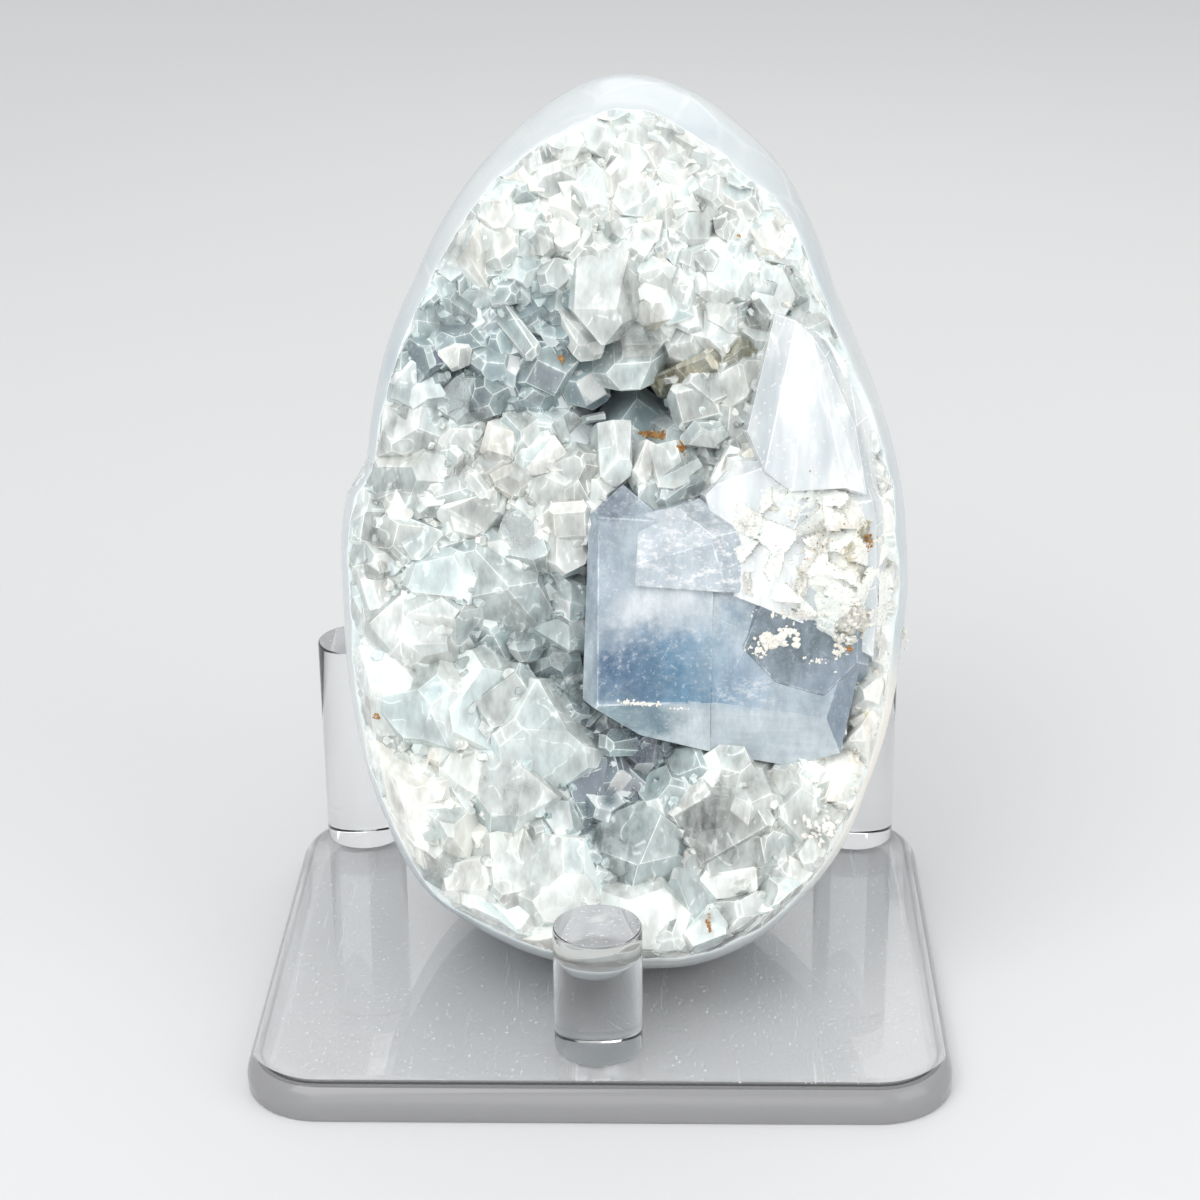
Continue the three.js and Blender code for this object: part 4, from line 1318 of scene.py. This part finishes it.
class GEODE_OT_polished_egg(GeodeOperator, Operator):
    """Build the polished egg with its open pocket"""

    bl_idname = "geode.polished_egg"
    bl_label = "Polished egg"

    def execute(self, context):
        egg = context.scene.geode_egg
        form = EggForm(egg)
        bm = bmesh.new()
        bmesh.ops.create_uvsphere(bm, u_segments=EGG_AROUND, v_segments=EGG_RINGS, radius=1)
        # deep marks the pocket's faces and holds how far into the deep hole each point lies, which the pocket
        # stone paints as shade
        deep = bm.verts.layers.float.new("deep")
        rims = {}
        rim_share = RIM_RING / EGG_RINGS
        half_ring = 0.5 / EGG_RINGS
        for vert in bm.verts:
            angle = math.atan2(vert.co.y, vert.co.x)
            key = round(angle, 5)
            if key not in rims:
                rims[key] = form.rim(angle)
            ring = math.acos(max(-1, min(1, vert.co.z))) / math.pi
            if ring < rim_share + half_ring:
                vert.co = self.shell_point(form, angle, rims[key], ring / rim_share)
            else:
                inward = (ring - rim_share) / (1 - rim_share)
                vert.co, vert[deep] = self.pocket_point(form, angle, rims[key], inward)
        for face in bm.faces:
            rings = [vert[deep] for vert in face.verts]
            face.material_index = 1 if max(rings) > 0 else 0
        bmesh.ops.recalc_face_normals(bm, faces=bm.faces)
        bmesh.ops.transform(bm, matrix=form.matrix, verts=bm.verts)
        for vert in bm.verts:
            vert.co.z = max(vert.co.z, egg.foot)
        materials = (polished_stone(egg, form), pocket_stone())
        make_piece("polished_egg", bm, materials, ["geode"], smooth=True)
        return {"FINISHED"}

    @staticmethod
    def shell_point(form, angle, rim, share):
        theta = math.acos(rim) * share
        across, up, ahead = form.shell(angle, math.cos(theta))
        gap = (Vector((across, up)) - NOTCH).length / NOTCH_REACH
        bite = NOTCH_DEPTH * math.exp(-(gap ** 4))
        return egg_point(across + bite, up, ahead)

    @staticmethod
    def pocket_point(form, angle, rim, inward):
        rim_across, rim_up, _ = form.shell(angle, rim)
        share = 1 - inward ** 1.15
        across = rim_across * share
        up = EGG_MIDDLE_UP + (rim_up - EGG_MIDDLE_UP) * share
        within = min(1, inward * 6)
        hole = form.in_vug(across, up)
        ahead = form.floor(across, up, share) - BED * within - form.vug_depth * hole
        spot = Vector((across, up, ahead))
        for scale, height in POCKET_LUMPS:
            ahead += height * noise.noise(spot * scale) * within
        return egg_point(across, up, ahead), max(POCKET_MARK, hole)


class GEODE_OT_druse(GeodeOperator, Operator):
    """Grow the small crystals that line the pocket"""

    bl_idname = "geode.druse"
    bl_label = "Druse"

    def execute(self, context):
        form, crystals, draw, bm = self.start(context, 0)
        edge = crystals.edge / MM
        for across, up, size in self.places(form, crystals, draw):
            share = form.pocket_share(across, up)
            zone = zone_at(across, up)
            lean = DRUSE_LEAN * (1 - 0.5 * min(1, share) ** 4)
            wobble = Vector((draw.gauss(0, lean), draw.gauss(0, 0.1), draw.gauss(0, lean)))
            way = (form.facing(across, up) + wobble).normalized()
            width = size * draw.uniform(*DRUSE_WIDTH)
            sizes = (width, width * draw.uniform(*DRUSE_BREADTH), size * DRUSE_LENGTH)
            rise = size * draw.uniform(*DRUSE_RISE)
            tip = egg_point(across, up, form.floor(across, up, share)) + way * rise
            looks = (zone.tint + draw.gauss(0, 0.05), zone.milk + draw.gauss(0, 0.14))
            pointing = (way.x, way.z, -way.y)
            turn = draw.uniform(0, 180)
            blunts = (draw.uniform(0, 0.3), draw.uniform(0, 0.4))
            cuts = (DRUSE_SLOPES, DRUSE_CHIPS)
            grow_crystal(bm, draw, tip, pointing, sizes, turn, blunts, looks, edge, *cuts)
        keep_inside(bm, form)
        make_stone("druse", bm, clear_crystal(), form)
        return {"FINISHED"}

    @staticmethod
    def places(form, crystals, draw):
        """Places for crystals, spaced by the size that each zone grows."""
        taken = []
        for _ in range(crystals.darts):
            across, up = form.dart(draw)
            size = zone_at(across, up).size * draw.uniform(0.7, 1.3)
            spot = Vector((across, up))
            if (spot - VUG_MOUTH).length < VUG_CLEARING + VUG_SPACING * size:
                continue
            border = BLUE_SPACING * size
            if any(inside_outline(across, up, block.outline, -border) for block in BLUE_BLOCKS):
                continue
            if any(inside_outline(across, up, block.outline, PALE_OVERLAP) for block in PALE_BLOCKS):
                continue
            gaps = ((math.hypot(across - c.tip[0], up - c.tip[1]), c.size[0]) for c in LARGE_CRYSTALS)
            if any(gap < LARGE_SPACING * width for gap, width in gaps):
                continue
            if all(math.hypot(across - a, up - u) > DRUSE_SPACING * (size + s) for a, u, s in taken):
                taken.append((across, up, size))
        return taken


class GEODE_OT_large_crystals(GeodeOperator, Operator):
    """Grow the large crystals that stand out of the druse"""

    bl_idname = "geode.large_crystals"
    bl_label = "Large crystals"

    def execute(self, context):
        form, crystals, draw, bm = self.start(context, 1)
        edge = LARGE_WEAR * crystals.edge / MM
        for crystal in LARGE_CRYSTALS:
            across, up, ahead = crystal.tip
            tip = egg_point(across, up, form.rim_level(across, up) + ahead)
            looks = (crystal.tint, crystal.milk)
            blunts = (crystal.blunt, crystal.blunt)
            grow_crystal(bm, draw, tip, crystal.way, crystal.size, crystal.turn, blunts, looks, edge)
        keep_inside(bm, form)
        make_stone("large_crystals", bm, bpy.data.materials["celestite_crystal"], form)
        return {"FINISHED"}


class GEODE_OT_blue_crystal(GeodeOperator, Operator):
    """Grow the large blue crystal with its column and its step"""

    bl_idname = "geode.blue_crystal"
    bl_label = "Blue crystal"

    def execute(self, context):
        form, crystals, draw, bm = self.start(context, 2)
        edge = BLOCK_WEAR * crystals.edge / MM
        for block, dust in zip(BLUE_BLOCKS, BLUE_DUST):
            finish_block(bm, cut_block(form, block), edge, draw, dust)
        finish_block(bm, cut_block(form, BLUE_WINDOW), edge, draw, grey=True)
        keep_inside(bm, form)
        make_stone("blue_crystal", bm, blue_crystal(crystals, form), form)
        return {"FINISHED"}


class GEODE_OT_pale_slab(GeodeOperator, Operator):
    """Grow the pale slab and the pale shoulder at the right of the pocket"""

    bl_idname = "geode.pale_slab"
    bl_label = "Pale slab"

    def execute(self, context):
        form, crystals, draw, bm = self.start(context, 3)
        edge = BLOCK_WEAR * crystals.edge / MM
        for block in PALE_BLOCKS:
            finish_block(bm, cut_block(form, block), edge, draw)
        keep_inside(bm, form)
        make_stone("pale_slab", bm, pale_crystal(), form)
        return {"FINISHED"}


class GEODE_OT_small_crystals(GeodeOperator, Operator):
    """Strew small crystals over the large ones"""

    bl_idname = "geode.small_crystals"
    bl_label = "Small crystals"

    def execute(self, context):
        form, crystals, draw, bm = self.start(context, 5)
        ground = Ground(form, *POCKET_PIECES)
        for _ in range(crystals.small_ones):
            across, up = form.dart(draw, SMALL_REACH)
            blocks = BLUE_BLOCKS + PALE_BLOCKS
            clean = any(inside_outline(across, up, block.outline, CLEAN_MARGIN) for block in blocks)
            if clean or form.in_vug(across, up) > CLEAN_VUG:
                continue
            zone = zone_at(across, up)
            spot, facing = ground.land(across, up)
            if not self.hollow(ground, across, up, spot):
                continue
            size = zone.size * draw.uniform(*SMALL_SIZE)
            looks = (zone.tint + draw.gauss(-0.03, 0.05), zone.milk + draw.gauss(0.1, 0.2))
            blunts = (draw.uniform(0, 0.3), draw.uniform(0, 0.6))
            self.add_small(bm, draw, spot, facing, size, looks, blunts)
        keep_inside(bm, form)
        make_stone("small_crystals", bm, bpy.data.materials["celestite_crystal"], form)
        return {"FINISHED"}

    @staticmethod
    def add_small(bm, draw, spot, facing, size, looks, blunts):
        """Adds one small crystal to the ground."""
        wobble = Vector((draw.gauss(0, SMALL_LEAN), -0.5, draw.gauss(0, SMALL_LEAN)))
        way = (facing * 0.6 + wobble).normalized()
        sizes = (size, size * draw.uniform(0.5, 1), size * 2.2)
        tip = spot + way * size * draw.uniform(0.1, 0.4)
        pointing = (way.x, way.z, -way.y)
        grow_crystal(bm, draw, tip, pointing, sizes, draw.uniform(0, 180), blunts, looks, 0)

    @staticmethod
    def hollow(ground, across, up, spot):
        """Whether a spot lies lower than the ground around it."""
        around = []
        for beside, above in PROBES:
            place, _ = ground.land(across + beside, up + above)
            around.append(place.y)
        return spot.y > sum(around) / len(around) + HOLLOW_DEPTH


class GEODE_OT_crust(GeodeOperator, Operator):
    """Lay the chalky crust and the rusty grains"""

    bl_idname = "geode.crust"
    bl_label = "Crust and rust"

    def execute(self, context):
        egg = context.scene.geode_egg
        form = EggForm(egg)
        draw = random.Random(context.scene.geode_crystals.seed + 4)
        crystal = bpy.data.materials["celestite_crystal"]
        sheet = self.broken_sheet(form, draw)
        keep_inside(sheet, form)
        make_stone("crust_sheet", sheet, crystal, form)
        ground = Ground(form, *POCKET_PIECES, "crust_sheet")
        chalk = bmesh.new()
        for scatter in CHALK_GRAINS:
            self.strew(chalk, ground, scatter, draw)
        keep_inside(chalk, form)
        for crumb in CRUMBS:
            half = [CRUMB * draw.uniform(0.5, 1.2) for _ in range(3)]
            self.add_lump(chalk, egg_point(*crumb), half, 1)
        make_stone("chalky_crust", chalk, chalky_crust(egg), form)
        rust = bmesh.new()
        for scatter in RUST_GRAINS:
            self.strew(rust, ground, scatter, draw)
        make_stone("rust_grains", rust, rust_grain(), form)
        return {"FINISHED"}

    @staticmethod
    def chunks(draw, number, tilt, rise):
        """Broken chunks strewn over the crust: their places, tilts and heights, and a tree to find them."""
        rights, heights = CRUST_CORNERS
        tree = KDTree(number)
        made = []
        for index in range(number):
            spot = Vector((draw.uniform(*rights), draw.uniform(*heights), 0))
            tree.insert(spot, index)
            made.append((spot, Vector((draw.gauss(0, tilt), draw.gauss(0, tilt), 0)), draw.gauss(0, rise)))
        tree.balance()
        return made, tree

    def broken_sheet(self, form, draw):
        """A crust of tilted chunks that sinks into the pocket round its edge."""
        (left, right), (low, high) = CRUST_CORNERS
        layers = [self.chunks(draw, *chunk) for chunk in CRUST_CHUNKS]
        bm = bmesh.new()
        tint, milk, frost = look_layers(bm)
        bmesh.ops.create_grid(bm, x_segments=CRUST_GRID, y_segments=CRUST_GRID, size=1)
        for vert in bm.verts:
            across = left + (right - left) * (vert.co.x + 1) / 2
            up = low + (high - low) * (vert.co.y + 1) / 2
            place = Vector((across, up, 0))
            ahead = min(form.face_level(across, up) - CRUST_LEVEL, form.shell_ahead(across, up) - 1)
            border = min(outward.dot(start - place.xy) for start, outward in outline_sides(CRUST_OUTLINE))
            ahead -= CRUST_EDGE_DROP * math.exp(-max(0, border) / CRUST_EDGE_REACH)
            for made, tree in layers:
                spot, tilt, rise = made[tree.find(place)[1]]
                ahead += tilt.dot(place - spot) + rise
            vert.co = egg_point(across, up, ahead)
        outside = []
        for face in bm.faces:
            spot = face.calc_center_median()
            if not inside_outline(spot.x, spot.z, CRUST_OUTLINE, 0):
                outside.append(face)
        bmesh.ops.delete(bm, geom=outside, context="FACES")
        made, tree = layers[0]
        shades = [draw.gauss(0, 0.05) for _ in made]
        for face in bm.faces:
            spot = face.calc_center_median()
            stain = math.exp(-((Vector((spot.x, spot.z)) - CRUST_STAIN).length / CRUST_STAIN_REACH) ** 2)
            shade = shades[tree.find((spot.x, spot.z, 0))[1]]
            face[tint] = CRUST_TINT + shade - 0.15 * stain * draw.random()
            face[milk] = CRUST_MILK + 5 * shade
            face[frost] = draw.uniform(0, 0.6) * (1 - stain)
        back = bmesh.ops.extrude_face_region(bm, geom=bm.faces[:])["geom"]
        verts = [item for item in back if isinstance(item, bmesh.types.BMVert)]
        for vert in verts:
            vert.co = egg_point(vert.co.x, vert.co.z, -vert.co.y - CRUST_BACK)
        bmesh.ops.recalc_face_normals(bm, faces=bm.faces)
        return bm

    def strew(self, target, ground, scatter, draw):
        """Sets grains on the pocket around a place."""
        for _ in range(scatter.number):
            across = draw.gauss(scatter.across, scatter.spread_across / 2)
            up = draw.gauss(scatter.up, scatter.spread_up / 2)
            if ground.form.pocket_share(across, up) > GRAIN_REACH:
                continue
            spot, _ = ground.land(across, up)
            half = [scatter.size * draw.uniform(0.4, 1.3) for _ in range(3)]
            self.add_lump(target, spot, half, 2 if scatter.size > COARSE_GRAIN else 1)

    @staticmethod
    def add_lump(target, middle, half, fineness):
        """Adds one rough lump."""
        made = bmesh.ops.create_icosphere(target, subdivisions=fineness, radius=1)
        across, up, ahead = half
        for vert in made["verts"]:
            spot = vert.co + middle * 0.37
            swell = sum(height * noise.noise(spot * scale) for scale, height in LUMP_SWELLS)
            reach = Vector((vert.co.x * across, vert.co.y * ahead, vert.co.z * up))
            vert.co = reach * (1 + LUMP_ROUGHNESS * swell)
        bmesh.ops.translate(target, vec=middle, verts=made["verts"])


class GEODE_OT_stand_plate(GeodeOperator, Operator):
    """Build the stand's clear plate"""

    bl_idname = "geode.stand_plate"
    bl_label = "Stand plate"

    def execute(self, context):
        stand = context.scene.geode_stand
        low, high = PLATE_BOX
        bm = bmesh.new()
        bmesh.ops.create_cube(bm, size=1)
        bmesh.ops.scale(bm, vec=high - low, verts=bm.verts)
        bmesh.ops.translate(bm, vec=(low + high) / 2, verts=bm.verts)
        heights = {edge: [vert.co.z for vert in edge.verts] for edge in bm.edges}
        upright = [edge for edge, (start, end) in heights.items() if abs(start - end) > CUT_TOLERANCE]
        round_edges(bm, upright, stand.corner_radius, 20)
        middle = (low.z + high.z) / 2
        top = [edge for edge in bm.edges if all(vert.co.z > middle for vert in edge.verts)]
        round_edges(bm, top, stand.edge_radius, 10)
        foot = low.z + CUT_TOLERANCE
        bottom = [edge for edge in bm.edges if all(vert.co.z < foot for vert in edge.verts)]
        round_edges(bm, bottom, 0.1 * stand.edge_radius, 2)
        acrylic = clear_acrylic("plate_acrylic", stand, PLATE_HAZE_AND_LIGHT, PLATE_EDGE_GLOW, high.z - FLAT_BORDER)
        make_clear("stand_plate", bm, acrylic)
        return {"FINISHED"}


class GEODE_OT_pegs(GeodeOperator, Operator):
    """Build the stand's three clear pegs"""

    bl_idname = "geode.pegs"
    bl_label = "Pegs"

    def execute(self, context):
        stand = context.scene.geode_stand
        level = PLATE_BOX[1].z + stand.edge_radius
        acrylic = clear_acrylic("peg_acrylic", stand, PEG_HAZE, PEG_EDGE_GLOW, level)
        for node in PEG_NODES:
            low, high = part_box(node)
            radius = (high.x - low.x) / 2
            bm = bmesh.new()
            bmesh.ops.create_cone(
                bm, cap_ends=True, segments=PEG_SEGMENTS, radius1=radius, radius2=radius,
                depth=high.z - low.z,
            )
            bmesh.ops.translate(bm, vec=(low + high) / 2, verts=bm.verts)
            rims = [edge for edge in bm.edges if len({round(vert.co.z, 6) for vert in edge.verts}) == 1]
            round_edges(bm, rims, stand.peg_chamfer, 3)
            make_clear(node, bm, acrylic)
        return {"FINISHED"}


class GEODE_OT_stage(GeodeOperator, Operator):
    """Set up the floor, the lights and the camera"""

    bl_idname = "geode.stage"
    bl_label = "Stage"

    def execute(self, context):
        stage = context.scene.geode_stage
        self.lay_floor(stage)
        self.light(context, stage)
        self.aim_camera(context, stage)
        return {"FINISHED"}

    @staticmethod
    def lay_floor(stage):
        bm = bmesh.new()
        bmesh.ops.create_grid(bm, x_segments=2, y_segments=2, size=FLOOR_HALF)
        bmesh.ops.translate(bm, vec=(0, 0, -FLOOR_GAP), verts=bm.verts)
        mesh = bpy.data.meshes.new("floor")
        bm.to_mesh(mesh)
        bm.free()
        mesh.materials.append(pale_floor(stage))
        floor = bpy.data.objects.new("floor", mesh)
        bpy.context.scene.collection.objects.link(floor)

    @staticmethod
    def light(context, stage):
        scene = context.scene
        scene.view_settings.view_transform = "Standard"
        scene.cycles.max_bounces = CLEAR_BOUNCES
        scene.cycles.transmission_bounces = CLEAR_BOUNCES
        scene.cycles.diffuse_bounces = PLAIN_BOUNCES
        scene.cycles.glossy_bounces = PLAIN_BOUNCES
        scene.world = bpy.data.worlds.new("studio")
        scene.world.use_nodes = True
        tree = scene.world.node_tree
        surround = tree.nodes["Background"]
        surround.inputs["Strength"].default_value = stage.surround
        coords = tree.nodes.new("ShaderNodeTexCoord")
        height = tree.nodes.new("ShaderNodeSeparateXYZ")
        tones = tree.nodes.new("ShaderNodeValToRGB")
        Finish.set_stops(tones.color_ramp, SKY_TONES)
        tree.links.new(coords.outputs["Generated"], height.inputs[0])
        tree.links.new(height.outputs["Z"], tones.inputs[0])
        tree.links.new(tones.outputs[0], surround.inputs["Color"])
        lamps = (
            ("key", stage.key, (-0.28, -0.38, 0.62), 0.45),
            ("fill", stage.fill, (0.55, -0.35, 0.35), 0.5),
            ("front", stage.front, (-0.1, -0.95, 0.42), 0.7),
            ("rim", stage.rim, (0.1, 0.5, 0.55), 0.5),
        )
        for name, power, place, size in lamps:
            lamp = bpy.data.lights.new(name, "AREA")
            lamp.energy = power
            lamp.size = size
            holder = bpy.data.objects.new(name, lamp)
            holder.location = place
            aim = LIGHT_AIM - Vector(place)
            holder.rotation_euler = aim.to_track_quat("-Z", "Y").to_euler()
            scene.collection.objects.link(holder)

    @staticmethod
    def aim_camera(context, stage):
        lens = bpy.data.cameras.new("camera")
        lens.sensor_width = PICTURE_WIDTH
        lens.lens = stage.lens
        lens.clip_start = 0.01
        camera = bpy.data.objects.new("camera", lens)
        ahead = Vector((
            math.sin(stage.yaw) * math.cos(stage.pitch),
            math.cos(stage.yaw) * math.cos(stage.pitch),
            -math.sin(stage.pitch),
        ))
        level = Vector((math.cos(stage.yaw), -math.sin(stage.yaw), 0))
        upright = level.cross(ahead)
        right = math.cos(stage.tilt) * level + math.sin(stage.tilt) * upright
        over = math.cos(stage.tilt) * upright - math.sin(stage.tilt) * level
        turned = Matrix((right, over, -ahead)).transposed().to_4x4()
        camera.matrix_world = Matrix.Translation(stage.eye) @ turned
        context.scene.collection.objects.link(camera)
        context.scene.camera = camera


# Sidebar and registration

PIECE_OPERATORS = (
    GEODE_OT_polished_egg,
    GEODE_OT_druse,
    GEODE_OT_large_crystals,
    GEODE_OT_blue_crystal,
    GEODE_OT_pale_slab,
    GEODE_OT_small_crystals,
    GEODE_OT_crust,
    GEODE_OT_stand_plate,
    GEODE_OT_pegs,
    GEODE_OT_stage,
)


class GEODE_PT_sidebar(Panel):
    """Lists the geode's pieces"""

    bl_idname = "GEODE_PT_sidebar"
    bl_label = "Celestite geode"
    bl_space_type = "VIEW_3D"
    bl_region_type = "UI"
    bl_category = "Geode"

    def draw(self, context):
        for operator in PIECE_OPERATORS:
            self.layout.operator(operator.bl_idname)


SETTINGS = {
    "geode_egg": GeodeEggSizes,
    "geode_crystals": GeodeCrystalSettings,
    "geode_stand": GeodeStandSizes,
    "geode_stage": GeodeStageSettings,
}
CLASSES = (*SETTINGS.values(), *PIECE_OPERATORS, GEODE_PT_sidebar)


def register():
    for made in CLASSES:
        bpy.utils.register_class(made)
    for name, group in SETTINGS.items():
        setattr(bpy.types.Scene, name, PointerProperty(type=group))


def unregister():
    for name in SETTINGS:
        delattr(bpy.types.Scene, name)
    for made in reversed(CLASSES):
        bpy.utils.unregister_class(made)


def main():
    register()
    bpy.ops.geode.polished_egg()
    bpy.ops.geode.druse()
    bpy.ops.geode.large_crystals()
    bpy.ops.geode.blue_crystal()
    bpy.ops.geode.pale_slab()
    bpy.ops.geode.small_crystals()
    bpy.ops.geode.crust()
    bpy.ops.geode.stand_plate()
    bpy.ops.geode.pegs()
    bpy.ops.geode.stage()


if __name__ == "__main__":
    main()
